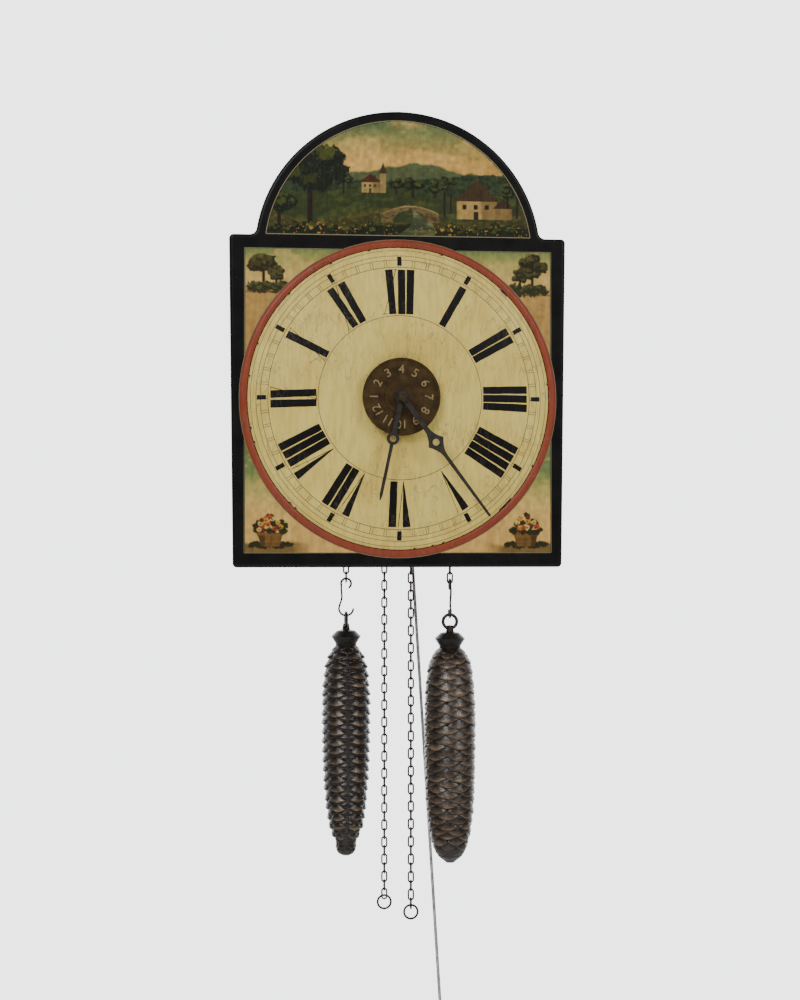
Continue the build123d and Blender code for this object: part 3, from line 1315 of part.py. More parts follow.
def make_bell():
    """A small iron bell on a post in the top board, held down by a nut."""
    board_top = CEILING_Z + BOARD_T
    mouth_z = board_top + BELL_MOUTH_OVER_BOARD
    with BuildPart() as bell:
        with BuildSketch(Plane(origin=(BELL_X, BELL_Y, mouth_z), x_dir=(1, 0, 0), z_dir=(0, -1, 0))):
            with BuildLine():
                Polyline(
                    (BELL_POST_R + FIT, BELL_H - BELL_T),
                    (9.0, BELL_H - BELL_T),
                    (18.5, BELL_H - BELL_T - 4.0),
                    (24.5, BELL_H - BELL_T - 11.0),
                    (BELL_R - BELL_T, 0.0),
                    (BELL_R, 0.0),
                    (26.3, BELL_H - 10.4),
                    (19.8, BELL_H - 3.0),
                    (9.6, BELL_H),
                    (BELL_POST_R + FIT, BELL_H),
                    close=True,
                )
            make_face()
        revolve(axis=Axis((BELL_X, BELL_Y, 0), (0, 0, 1)))
    save(bell.part, "bell")
    bell_top = mouth_z + BELL_H
    post = [
        (0, CEILING_Z),
        (BELL_POST_R, CEILING_Z),
        (BELL_POST_R, board_top),
        (BELL_SHOULDER_R + 1.5, board_top),
        (BELL_SHOULDER_R, board_top + 3),
        (BELL_SHOULDER_R, bell_top - BELL_T),
        (BELL_POST_R, bell_top - BELL_T),
        (BELL_POST_R, bell_top + BELL_NUT_T + 1),
        (0, bell_top + BELL_NUT_T + 1),
    ]
    with BuildPart() as stand:
        turned(post, (BELL_X, BELL_Y, 0))
    with BuildPart() as nut:
        with BuildSketch(Plane.XY.offset(bell_top)):
            with Locations((BELL_X, BELL_Y)):
                RegularPolygon(BELL_NUT_R, 6)
                Circle(BELL_POST_R, mode=Mode.SUBTRACT)
        extrude(amount=BELL_NUT_T)
    group([stand.part, nut.part], "bell_post")


def make_all():
    """Build every piece of the clock."""
    make_plates()
    make_boards()
    make_doors()
    make_hanger()
    make_shield()
    make_going_train()
    make_motion_work()
    make_hands()
    make_escapement()
    make_pendulum()
    make_alarm_train()
    make_bell()
    going = chain_sprocket(GREAT, GOING_CHAIN_Y, True, True)
    save(going, "going_sprocket")
    alarm = chain_sprocket(ALARM, ALARM_CHAIN_Y, False, False)
    save(alarm, "alarm_sprocket")
    going_place, going_eye = make_chain("going", GREAT, GOING_CHAIN_Y, True, True)
    alarm_place, alarm_eye = make_chain("alarm", ALARM, ALARM_CHAIN_Y, False, False)
    going_hang = (going_place[0], GOING_CHAIN_Y, going_eye - EYE_BELOW)
    make_weight("going", going_hang, GOING_CONE_R, GOING_CONE_SHAPE, True)
    alarm_hang = (alarm_place[0], ALARM_CHAIN_Y, alarm_eye - EYE_BELOW)
    make_weight("alarm", alarm_hang, ALARM_CONE_R, ALARM_CONE_SHAPE, False)


os.makedirs("parts", exist_ok=True)
make_all()
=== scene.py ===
"""Look of the shield clock: painted shield, cone weights, metal and wood, in the photograph's view."""

import json
import math
import random

import bpy
import numpy as np
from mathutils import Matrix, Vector

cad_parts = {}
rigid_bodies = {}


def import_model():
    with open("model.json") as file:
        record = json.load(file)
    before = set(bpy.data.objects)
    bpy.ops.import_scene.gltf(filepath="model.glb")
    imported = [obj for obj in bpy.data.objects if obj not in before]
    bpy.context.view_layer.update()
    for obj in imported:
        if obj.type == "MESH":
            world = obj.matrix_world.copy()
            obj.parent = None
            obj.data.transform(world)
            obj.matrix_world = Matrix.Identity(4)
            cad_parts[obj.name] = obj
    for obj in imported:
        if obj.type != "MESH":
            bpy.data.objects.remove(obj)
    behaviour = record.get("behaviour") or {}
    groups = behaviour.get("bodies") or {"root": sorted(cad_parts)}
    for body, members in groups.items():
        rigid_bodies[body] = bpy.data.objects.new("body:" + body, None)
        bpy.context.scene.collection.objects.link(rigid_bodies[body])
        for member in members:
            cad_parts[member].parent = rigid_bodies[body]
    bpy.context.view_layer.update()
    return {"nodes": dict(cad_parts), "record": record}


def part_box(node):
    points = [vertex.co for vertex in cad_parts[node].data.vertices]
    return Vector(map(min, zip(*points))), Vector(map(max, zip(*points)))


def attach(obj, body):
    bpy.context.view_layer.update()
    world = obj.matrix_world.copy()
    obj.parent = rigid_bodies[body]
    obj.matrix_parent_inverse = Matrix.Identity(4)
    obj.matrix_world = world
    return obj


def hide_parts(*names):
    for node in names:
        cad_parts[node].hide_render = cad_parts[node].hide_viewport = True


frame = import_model()
NODES = frame["nodes"]
random.seed(7)

MM = 0.001
DIAL_Z = -106.0
FACE_Y = -91.5
RIM_Y = FACE_Y - 0.72
DOME_R = 108.4
DOME_LIFT = 11.5
APEX_Y = RIM_Y - DOME_LIFT
SPHERE_R = (DOME_R**2 + DOME_LIFT**2) / (2 * DOME_LIFT)


# Surfaces


def surface_y(x, z):
    """Depth in mm of the dial's surface at a place measured from the dial's centre."""
    r = math.hypot(x, z)
    if r < DOME_R:
        return APEX_Y + SPHERE_R - math.sqrt(SPHERE_R**2 - r * r)
    return FACE_Y


def add_mesh(name, verts, faces, material, smooth=False):
    """A mesh object from vertices in mm in the row frame."""
    mesh = bpy.data.meshes.new(name)
    mesh.from_pydata([Vector(v) * MM for v in verts], [], faces)
    mesh.validate()
    if smooth:
        mesh.polygons.foreach_set("use_smooth", [True] * len(mesh.polygons))
    obj = bpy.data.objects.new(name, mesh)
    bpy.context.scene.collection.objects.link(obj)
    mesh.materials.append(material)
    return obj


# Materials


class Nodes:
    """Small helper that adds shader nodes and links them."""

    def __init__(self, name):
        self.mat = bpy.data.materials.new(name)
        self.mat.use_nodes = True
        self.tree = self.mat.node_tree
        self.tree.nodes.clear()
        self.out = self.add("ShaderNodeOutputMaterial")
        self.bsdf = self.add("ShaderNodeBsdfPrincipled")
        self.link(self.bsdf.outputs[0], self.out.inputs[0])
        self.coord = self.add("ShaderNodeTexCoord").outputs["Object"]

    def add(self, kind, **sockets):
        node = self.tree.nodes.new(kind)
        for key, value in sockets.items():
            node.inputs[key].default_value = value
        return node

    def link(self, a, b):
        self.tree.links.new(a, b)

    def stretched(self, scale):
        """Object coordinates stretched by a factor on each axis."""
        node = self.add("ShaderNodeMapping")
        node.inputs["Scale"].default_value = scale
        self.link(self.coord, node.inputs["Vector"])
        return node.outputs[0]

    def noise(self, scale, detail=4.0, stretch=(1, 1, 1), roughness=0.55):
        node = self.add("ShaderNodeTexNoise")
        node.inputs["Scale"].default_value = scale
        node.inputs["Detail"].default_value = detail
        node.inputs["Roughness"].default_value = roughness
        self.link(self.stretched(stretch), node.inputs["Vector"])
        return node.outputs["Fac"]

    def ramp(self, value, stops):
        """Colour ramp from (position, colour) stops."""
        node = self.add("ShaderNodeValToRGB")
        points = node.color_ramp.elements
        while len(points) < len(stops):
            points.new(0.5)
        for point, (place, colour) in zip(points, stops):
            point.position = place
            point.color = (*colour, 1.0)
        self.link(value, node.inputs[0])
        return node.outputs[0]

    def mix(self, factor, a, b, blend="MIX"):
        node = self.add("ShaderNodeMix")
        node.data_type = "RGBA"
        node.blend_type = blend
        for socket, value in ((node.inputs[0], factor), (node.inputs[6], a), (node.inputs[7], b)):
            if isinstance(value, bpy.types.NodeSocket):
                self.link(value, socket)
            elif socket == node.inputs[0]:
                socket.default_value = value
            else:
                socket.default_value = (*value, 1.0)
        return node.outputs[2]

    def bump(self, height, distance, strength=1.0):
        node = self.add("ShaderNodeBump")
        node.inputs["Strength"].default_value = strength
        node.inputs["Distance"].default_value = distance
        self.link(height, node.inputs["Height"])
        self.link(node.outputs[0], self.bsdf.inputs["Normal"])

    def set(self, name, value):
        socket = self.bsdf.inputs[name]
        if isinstance(value, bpy.types.NodeSocket):
            self.link(value, socket)
        elif isinstance(value, tuple):
            socket.default_value = (*value, 1.0)
        else:
            socket.default_value = value


GREY = (0, 0, 0), (1, 1, 1)


def rough_range(n, value, low, high):
    """Roughness that follows a noise value."""
    node = n.add("ShaderNodeMapRange")
    node.inputs["To Min"].default_value = low
    node.inputs["To Max"].default_value = high
    n.link(value, node.inputs["Value"])
    n.link(node.outputs[0], n.bsdf.inputs["Roughness"])


def plain_metal(name, dark, light, low, high, scale=180.0, bump=0.00008, metallic=1.0, gloss=0.5):
    """Worn metal whose colour and gloss wander with fine noise."""
    n = Nodes(name)
    cloud = n.noise(scale, 6.0)
    n.set("Base Color", n.ramp(cloud, [(0.32, dark), (0.72, light)]))
    n.set("Metallic", metallic)
    n.set("Specular IOR Level", gloss)
    rough_range(n, n.noise(scale * 2.3, 3.0), low, high)
    n.bump(n.noise(scale * 5, 3.0), bump, 0.6)
    return n.mat


def wood(name, dark, light, along=(1, 1, 0.06), rough=0.6):
    """Old wood with grain along Z and darker pores."""
    n = Nodes(name)
    grain = n.noise(150.0, 8.0, along, 0.65)
    pores = n.noise(900.0, 2.0, along)
    tone = n.ramp(grain, [(0.3, dark), (0.7, light)])
    n.set("Base Color", n.mix(n.ramp(pores, [(0.36, (1, 1, 1)), (0.46, (0, 0, 0))]), tone, dark))
    rough_range(n, grain, rough, rough + 0.2)
    n.bump(pores, 0.00015, 0.5)
    return n.mat


def lacquer():
    """Black lacquer on the shield's front and edges, bare old wood on its back."""
    n = Nodes("black_lacquer")
    lighter_tone_share = n.noise(60.0, 8.0)
    specks = n.noise(420.0, 4.0)
    black = n.ramp(lighter_tone_share, [(0.35, (0.0008, 0.0007, 0.0006)), (0.75, (0.0035, 0.0031, 0.0027))])
    chips = n.ramp(specks, [(0.70, (0, 0, 0)), (0.76, (1, 1, 1))])
    front = n.mix(chips, black, (0.018, 0.014, 0.010))
    grain = n.noise(120.0, 8.0, (1, 1, 0.05), 0.65)
    back = n.ramp(grain, [(0.3, (0.12, 0.062, 0.026)), (0.7, (0.26, 0.15, 0.07))])
    split = n.add("ShaderNodeSeparateXYZ")
    n.link(n.coord, split.inputs[0])
    behind = n.add("ShaderNodeMath")
    behind.operation = "GREATER_THAN"
    behind.inputs[1].default_value = -0.0842
    n.link(split.outputs[1], behind.inputs[0])
    facing = n.add("ShaderNodeSeparateXYZ")
    n.link(n.add("ShaderNodeTexCoord").outputs["Normal"], facing.inputs[0])
    to_wall = n.add("ShaderNodeMath")
    to_wall.operation = "GREATER_THAN"
    to_wall.inputs[1].default_value = 0.2
    n.link(facing.outputs[1], to_wall.inputs[0])
    bare = n.add("ShaderNodeMath")
    bare.operation = "MAXIMUM"
    n.link(behind.outputs[0], bare.inputs[0])
    n.link(to_wall.outputs[0], bare.inputs[1])
    n.set("Base Color", n.mix(bare.outputs[0], front, back))
    rough_range(n, lighter_tone_share, 0.30, 0.50)
    n.set("Specular IOR Level", 0.14)
    n.bump(n.noise(300.0, 3.0), 0.0001, 0.5)
    return n.mat


def aged_paint(name, base, dark, crackle=0.5, rough=(0.42, 0.62), colour_layer=None, stain=0.5, gloss=0.18):
    """Oil paint over wood with upright craquelure, stains and faint brush marks."""
    n = Nodes(name)
    if colour_layer:
        layer = n.add("ShaderNodeVertexColor")
        layer.layer_name = colour_layer
        ground = layer.outputs["Color"]
    else:
        ground = n.mix(0.0, base, base)
    clouds = n.noise(22.0, 7.0, (1, 1, 1), 0.6)
    stained = n.mix(n.ramp(clouds, [(0.46, GREY[0]), (0.78, GREY[1])]), (1, 1, 1), dark)
    tone = n.mix(stain, ground, stained, "MULTIPLY")
    streak = n.noise(330.0, 3.0, (1.0, 1.0, 0.16), 0.5)
    streaks = n.ramp(streak, [(0.38, (0.80, 0.76, 0.66)), (0.6, (1, 1, 1))])
    tone = n.mix(0.55, tone, streaks, "MULTIPLY")
    crack = n.add("ShaderNodeTexVoronoi")
    crack.feature = "DISTANCE_TO_EDGE"
    crack.inputs["Scale"].default_value = 330.0
    warp = n.add("ShaderNodeVectorMath")
    warp.operation = "ADD"
    soft = n.add("ShaderNodeTexNoise")
    soft.inputs["Scale"].default_value = 160.0
    n.link(n.coord, soft.inputs["Vector"])
    shrink = n.add("ShaderNodeVectorMath")
    shrink.operation = "SCALE"
    shrink.inputs["Scale"].default_value = 0.0035
    n.link(soft.outputs["Color"], shrink.inputs[0])
    n.link(n.stretched((1.0, 1.0, 0.22)), warp.inputs[0])
    n.link(shrink.outputs[0], warp.inputs[1])
    n.link(warp.outputs[0], crack.inputs["Vector"])
    lines = n.ramp(crack.outputs["Distance"], [(0.0, GREY[1]), (0.05, GREY[0])])
    patchy = n.ramp(n.noise(45.0, 3.0), [(0.4, GREY[0]), (0.62, GREY[1])])
    cracks = n.mix(1.0, lines, patchy, "MULTIPLY")
    hair = n.ramp(n.noise(820.0, 2.0, (1.0, 1.0, 0.045)), [(0.63, GREY[0]), (0.70, GREY[1])])
    hairs = n.mix(1.0, hair, n.ramp(n.noise(60.0, 3.0), [(0.42, GREY[0]), (0.6, GREY[1])]), "MULTIPLY")
    cracks = n.mix(0.5, cracks, hairs, "ADD")
    strength = n.mix(crackle, (0, 0, 0), cracks)
    n.set("Base Color", n.mix(strength, tone, tuple(c * 0.28 for c in dark)))
    rough_range(n, clouds, *rough)
    n.set("Specular IOR Level", gloss)
    n.bump(n.mix(0.5, streak, lines), 0.00006, 0.7)
    return n.mat


BLACK_PAINT = aged_paint("numeral_black", (0.0035, 0.003, 0.003), (0.6, 0.5, 0.4), 0.2, (0.4, 0.55), gloss=0.1)
LINE_PAINT = aged_paint("line_black", (0.05, 0.042, 0.032), (0.8, 0.7, 0.5), 0.5)
CREAM = aged_paint("cream_paint", (0.53, 0.415, 0.105), (0.72, 0.56, 0.26), 0.85, (0.40, 0.56), stain=0.6)
RED = aged_paint("red_paint", (0.185, 0.034, 0.014), (0.5, 0.4, 0.35), 0.35, (0.32, 0.5))
# Near-black line paint, used as painted shade at the inner foot of the red ring.
PAINTED_RIM_SHADE = aged_paint("painted_rim_shade", (0.02, 0.012, 0.01), (0.6, 0.5, 0.45), 0.3)
PALE_LINE = aged_paint("pale_line", (0.16, 0.14, 0.075), (0.7, 0.6, 0.5), 0.4)
PICTURE = aged_paint("picture_paint", (1, 1, 1), (0.80, 0.66, 0.40), 0.08, (0.34, 0.5), "paint", 0.45)

MATERIALS = {
    "case_wood": wood("oiled_beech", (0.07, 0.033, 0.013), (0.20, 0.105, 0.045)),
    "peg_wood": wood("turned_peg", (0.14, 0.075, 0.03), (0.30, 0.18, 0.085), (1, 0.06, 1)),
    "brass": plain_metal("dull_brass", (0.30, 0.19, 0.06), (0.56, 0.40, 0.16), 0.28, 0.5),
    "steel": plain_metal("bright_iron", (0.20, 0.19, 0.18), (0.46, 0.45, 0.44), 0.28, 0.5),
    "dark_iron": plain_metal(
        "black_cap_paint", (0.003, 0.0026, 0.002), (0.014, 0.011, 0.008), 0.28, 0.46, 90.0, 0.0001, 0.0, 0.22
    ),
    "hand_black": plain_metal(
        "dark_hand", (0.006, 0.0045, 0.0035), (0.03, 0.021, 0.015), 0.34, 0.52, 260.0, 0.00004, 0.35
    ),
    "chain_brass": plain_metal(
        "dark_chain", (0.006, 0.005, 0.003), (0.026, 0.019, 0.012), 0.38, 0.58, 300.0, 0.00008, 0.3, 0.25
    ),
    "bell_bronze": plain_metal("bell_metal", (0.26, 0.17, 0.07), (0.46, 0.34, 0.17), 0.25, 0.45),
    "bob_brass": plain_metal("bob_brass", (0.50, 0.34, 0.12), (0.76, 0.58, 0.28), 0.16, 0.34, 60.0),
    "alarm_brass": plain_metal(
        "brown_brass", (0.022, 0.012, 0.003), (0.058, 0.034, 0.010), 0.38, 0.56, 170.0, 0.00012, 0.6, 0.3
    ),
}
MATERIALS["shield_paint"] = lacquer()
RUBBED_BRASS = plain_metal(
    "rubbed_brass", (0.13, 0.09, 0.035), (0.31, 0.225, 0.105), 0.34, 0.52, 400.0, 0.00006, 0.6, 0.3
)
DARK_BRONZE = plain_metal(
    "dark_bronze", (0.022, 0.014, 0.008), (0.085, 0.055, 0.03), 0.32, 0.5, 300.0, 0.00006, 0.7
)
BLACK_WIRE = plain_metal(
    "black_wire", (0.008, 0.007, 0.006), (0.04, 0.036, 0.032), 0.3, 0.5, 300.0, 0.00006, 0.6
)
OWN_LOOK = {
    "hand_nut": DARK_BRONZE,
    "going_hook": BLACK_WIRE,
    "alarm_hook": BLACK_WIRE,
    "going_weight_ring": BLACK_WIRE,
    "alarm_weight_ring": BLACK_WIRE,
}


def cone_material():
    """Brown painted iron: tan lips that are partly rubbed paint and partly a painted highlight, near-black hollows as
    painted shade.
    """
    n = Nodes("cone_iron")
    layer = n.add("ShaderNodeVertexColor")
    layer.layer_name = "lighter_tone_share"
    patch = n.noise(55.0, 5.0)
    # Near-black tone of the iron, which also serves as painted shade in the hollows between scales; the lighter tone
    # below is partly rubbed paint and partly a painted highlight on the scales' lips.
    dark_iron_and_shade = n.ramp(patch, [(0.3, (0.005, 0.003, 0.002)), (0.7, (0.014, 0.008, 0.005))])
    high = n.ramp(n.noise(210.0, 5.0), [(0.35, (0.048, 0.030, 0.017)), (0.7, (0.17, 0.115, 0.068))])
    n.set("Base Color", n.mix(layer.outputs["Color"], dark_iron_and_shade, high))
    n.set("Metallic", 0.3)
    rough_range(n, n.noise(400.0, 4.0), 0.22, 0.42)
    n.bump(n.noise(700.0, 4.0), 0.00025, 0.8)
    return n.mat


CONE = cone_material()
MATERIALS["weight_iron"] = CONE

for entry in frame["record"]["subparts"]:
    node = NODES[entry["node"]]
    node.data.materials.clear()
    node.data.materials.append(OWN_LOOK.get(entry["node"], MATERIALS[entry["material_slot"]]))


# Painted dial


def drape(name, rows, material, lift, closed=False):
    """A strip of quads from rows of (x, z) points round the dial's centre, laid on the surface."""
    verts = []
    for row in rows:
        for x, z in row:
            verts.append((x, surface_y(x, z) - lift, z + DIAL_Z))
    width = len(rows[0])
    faces = []
    count = len(rows)
    for i in range(count if closed else count - 1):
        for j in range(width - 1):
            a, b = i * width + j, ((i + 1) % count) * width + j
            faces.append((a, b, b + 1, a + 1))
    return add_mesh(name, verts, faces, material, True)


def join(objs, name):
    """Make one object of several."""
    with bpy.context.temp_override(
        active_object=objs[0], selected_editable_objects=objs, selected_objects=objs
    ):
        bpy.ops.object.join()
    objs[0].name = name
    objs[0].data.name = name
    return objs[0]


def circle_band(name, inner, outer, material, lift, steps=256, rings=2):
    """A flat band round the dial's centre."""
    rows = []
    for i in range(steps):
        t = 2 * math.pi * i / steps
        row = []
        for j in range(rings):
            r = inner + (outer - inner) * j / (rings - 1)
            row.append((r * math.sin(t), r * math.cos(t)))
        rows.append(row)
    return drape(name, rows, material, lift, True)


def bar(name, start, end, start_w, end_w, material, lift, parts=8, rough=0.0):
    """A tapering bar between two places on the dial."""
    dx, dz = end[0] - start[0], end[1] - start[1]
    length = math.hypot(dx, dz)
    nx, nz = dz / length, -dx / length
    rows = []
    for i in range(parts + 1):
        t = i / parts
        half = (start_w + (end_w - start_w) * t) / 2
        left = half + rough * (random.random() - 0.5)
        right = half + rough * (random.random() - 0.5)
        x, z = start[0] + dx * t, start[1] + dz * t
        rows.append([(x - nx * left, z - nz * left), (x + nx * right, z + nz * right)])
    return drape(name, rows, material, lift, False)


def on_dial(angle, across, reach):
    """Place on the dial for a numeral that stands at an angle clockwise from the top."""
    t = math.radians(angle)
    return (
        reach * math.sin(t) + across * math.cos(t),
        reach * math.cos(t) - across * math.sin(t),
    )


INNER, OUTER = 59.7, 92.2
BAR_W, BAR_GAP = 5.5, 1.1
NUMERALS = ["XII", "I", "II", "III", "IIII", "V", "VI", "VII", "VIII", "IX", "X", "XI"]
WIDTHS = {"I": BAR_W, "V": 9.4, "X": 8.2}


def stroke(angle, a, b, wa, wb, parts=8):
    return bar(
        "stroke", on_dial(angle, *a), on_dial(angle, *b), wa, wb, BLACK_PAINT, 0.11, parts, 0.22
    )


def numeral(text, angle):
    """Strokes of one numeral, its feet towards the dial's centre."""
    total = sum(WIDTHS[c] for c in text) + BAR_GAP * (len(text) - 1)
    place = -total / 2
    strokes = []
    for letter in text:
        left, right = place, place + WIDTHS[letter]
        squeeze = 0.86
        if letter == "I":
            mid = (left + right) / 2
            strokes.append(stroke(angle, (mid * squeeze, INNER), (mid, OUTER), BAR_W * 0.93, BAR_W))
        elif letter == "V":
            foot = (left + 5.4) * squeeze
            strokes.append(stroke(angle, (foot, INNER), (left + 2.9, OUTER), 0.5, 5.6))
            strokes.append(stroke(angle, (foot, INNER), (right - 0.4, OUTER), 0.4, 0.4))
        else:
            top, low = left + 3.0, (left + 4.6) * squeeze
            strokes.append(stroke(angle, (low, INNER), (top, OUTER), 5.0, 5.4))
            strokes.append(stroke(angle, (left - 0.4, INNER), (right - 0.2, OUTER), 0.4, 0.4))
            strokes.append(stroke(angle, (left - 1.8, INNER), (left + 2.0, INNER), 0.35, 0.35, 2))
            strokes.append(stroke(angle, (right - 2.2, OUTER), (right + 0.4, OUTER), 0.35, 0.35, 2))
        place = right + BAR_GAP
    return strokes


def paint_dial():
    """Cream ground, chapter ring, minute track, blocks and numerals."""
    circle_band("dial_cream", 6.6, 108.3, CREAM, 0.05, 256, 40)
    lines = []
    for radius, width in ((106.3, 0.35), (102.4, 0.35), (99.3, 0.35), (94.0, 0.4), (58.6, 0.4)):
        band = circle_band("line", radius - width / 2, radius + width / 2, LINE_PAINT, 0.10)
        lines.append(band)
    for minute in range(60):
        for across in (-0.85, 0.85):
            start, end = on_dial(minute * 6, across, 94.0), on_dial(minute * 6, across, 99.3)
            lines.append(bar("tick", start, end, 0.35, 0.35, LINE_PAINT, 0.10, 2))
    join(lines, "minute_track")
    blocks = []
    for hour in range(12):
        angle = hour * 30
        blocks.append(
            bar("block", on_dial(angle, 0, 95.2), on_dial(angle, 0, 101.8), 3.2, 3.2, BLACK_PAINT, 0.13, 3, 0.2)
        )
    join(blocks, "hour_blocks")
    strokes = []
    for hour, text in enumerate(NUMERALS):
        strokes += numeral(text, hour * 30)
    join(strokes, "hour_numerals")


def ring_paint():
    """Red paint over the turned ring, a pale line on its outer edge as a painted highlight and a dark line at its inner
    foot as painted shade.
    """
    profile = [
        (108.45, RIM_Y - 0.02),
        (109.55, FACE_Y - 1.86),
        (112.85, FACE_Y - 1.86),
        (113.95, FACE_Y - 0.1),
        (114.25, FACE_Y - 0.06),
    ]
    steps = 256
    verts, faces = [], []
    for i in range(steps):
        t = 2 * math.pi * i / steps
        for r, y in profile:
            verts.append((r * math.sin(t), y, r * math.cos(t) + DIAL_Z))
    size = len(profile)
    for i in range(steps):
        for j in range(size - 1):
            a, b = i * size + j, ((i + 1) % steps) * size + j
            faces.append((a, b, b + 1, a + 1))
    add_mesh("red_ring_paint", verts, faces, RED, True)
    # Painted shade: a dark line where the raised ring meets the dial.
    circle_band("ring_inner_shade_line", 107.5, 108.4, PAINTED_RIM_SHADE, 0.12)
    # Painted highlight: a pale line along the ring's outer edge.
    circle_band("ring_outer_highlight_line", 114.1, 114.5, PALE_LINE, 0.14)


# Painted pictures


def lattice(points, seed):
    """Smooth value noise on an array of 2-D points."""
    rng = np.random.default_rng(seed)
    grid = rng.random((64, 64))
    grid[63, :] = grid[0, :]
    grid[:, 63] = grid[:, 0]
    p = points % 63.0
    i = np.floor(p).astype(int)
    f = p - i
    f = f * f * (3 - 2 * f)
    a = grid[i[..., 0], i[..., 1]]
    b = grid[i[..., 0] + 1, i[..., 1]]
    c = grid[i[..., 0], i[..., 1] + 1]
    d = grid[i[..., 0] + 1, i[..., 1] + 1]
    top = a + (b - a) * f[..., 0]
    low = c + (d - c) * f[..., 0]
    return top + (low - top) * f[..., 1]


def cloud(x, z, size, seed, octaves=4):
    """Fractal noise between 0 and 1 with a feature size in mm."""
    total, weight, value = 0.0, 1.0, 0.0
    for octave in range(octaves):
        points = np.stack([x, z], -1) / size * 2**octave + 17.3 * octave
        value = value + weight * lattice(points, seed + octave)
        total += weight
        weight *= 0.5
    return value / total


class Canvas:
    """A painted patch: colours on a grid of places, laid over with soft shapes."""

    def __init__(self, x, z):
        self.x, self.z = x, z
        self.rgb = np.zeros(x.shape + (3,))

    def lay(self, mask, colour):
        mask = np.clip(mask, 0, 1)[..., None]
        self.rgb = self.rgb * (1 - mask) + np.asarray(colour) * mask

    def gradient(self, low, high, stops):
        t = np.clip((self.z - low) / (high - low), 0, 1)
        places = [s[0] for s in stops]
        for k in range(3):
            self.rgb[..., k] = np.interp(t, places, [s[1][k] for s in stops])

    def below(self, height, edge=0.5):
        return np.clip((height - self.z) / edge + 0.5, 0, 1)

    def box(self, x0, x1, z0, z1, edge=0.35):
        inside = np.minimum.reduce([self.x - x0, x1 - self.x, self.z - z0, z1 - self.z])
        return np.clip(inside / edge + 0.5, 0, 1)

    def gable(self, x0, x1, z0, z1, edge=0.4):
        """A roof's triangle on a base line."""
        mid = (x0 + x1) / 2
        slope = (z1 - z0) / ((x1 - x0) / 2)
        inside = np.minimum(z1 - np.abs(self.x - mid) * slope - self.z, self.z - z0)
        return np.clip(inside / edge + 0.5, 0, 1)

    def blob(self, cx, cz, rx, rz, ragged, seed, size=2.6):
        """A leafy mass with a ragged edge."""
        d = np.sqrt(((self.x - cx) / rx) ** 2 + ((self.z - cz) / rz) ** 2)
        d = d + ragged * (cloud(self.x, self.z, size, seed) - 0.5)
        return np.clip((1 - d) * 5 + 0.5, 0, 1)

    def tree(self, cx, foot, height, width, seed, masses=7, dark=(0.010, 0.020, 0.008), lit=(0.105, 0.12, 0.035)):
        """A trunk with leafy masses, lit from the upper left."""
        trunk = width * 0.035 + 0.3
        self.lay(self.box(cx - trunk, cx + trunk, foot, foot + height * 0.6), (0.030, 0.018, 0.009))
        rng = random.Random(seed)
        for k in range(masses):
            turn = rng.random() * 2 * math.pi
            reach = math.sqrt(rng.random()) * 0.36
            bx = cx + math.cos(turn) * reach * width
            bz = foot + height * (0.66 + 0.62 * reach * math.sin(turn))
            r = width * (0.15 + 0.11 * rng.random())
            self.lay(self.blob(bx, bz, r, r * 0.75, 1.1, seed + k), dark)
            light = self.blob(bx - r * 0.25, bz + r * 0.28, r * 0.72, r * 0.45, 1.8, seed + 40 + k, 1.3)
            self.lay(light * (0.35 + 0.5 * rng.random()), lit)

    def house(self, x0, z0, width, wall, roof, tones):
        """A gabled house front with a door and a row of three small windows."""
        wall_tone, roof_tone = tones
        self.lay(self.box(x0, x0 + width, z0, z0 + wall), wall_tone)
        shade = self.box(x0 + width * 0.62, x0 + width, z0, z0 + wall)
        self.lay(shade * 0.55, tuple(c * 0.45 for c in wall_tone))
        self.lay(self.gable(x0 - 2, x0 + width + 2, z0 + wall, z0 + wall + roof), roof_tone)
        self.lay(self.box(x0 + width * 0.7, x0 + width * 0.78, z0 + wall, z0 + wall + roof * 0.9), roof_tone)
        for k in range(3):
            wx = x0 + width * (0.14 + 0.28 * k)
            self.lay(self.box(wx, wx + width * 0.1, z0 + wall * 0.55, z0 + wall * 0.8), (0.02, 0.016, 0.012))
        self.lay(self.box(x0 + width * 0.42, x0 + width * 0.54, z0, z0 + wall * 0.42), (0.03, 0.02, 0.012))

    def varnish(self):
        """Old brown varnish: deeper darks and a yellow cast over the whole patch."""
        self.rgb = self.rgb**1.3 * np.array((0.95, 0.90, 0.58))

    def grain(self, amount, seed):
        """Brushy variation of the whole patch."""
        shade = 1 + amount * (cloud(self.x, self.z, 3.0, seed) - 0.5) * 2
        self.rgb = np.clip(self.rgb * shade[..., None], 0, 1)


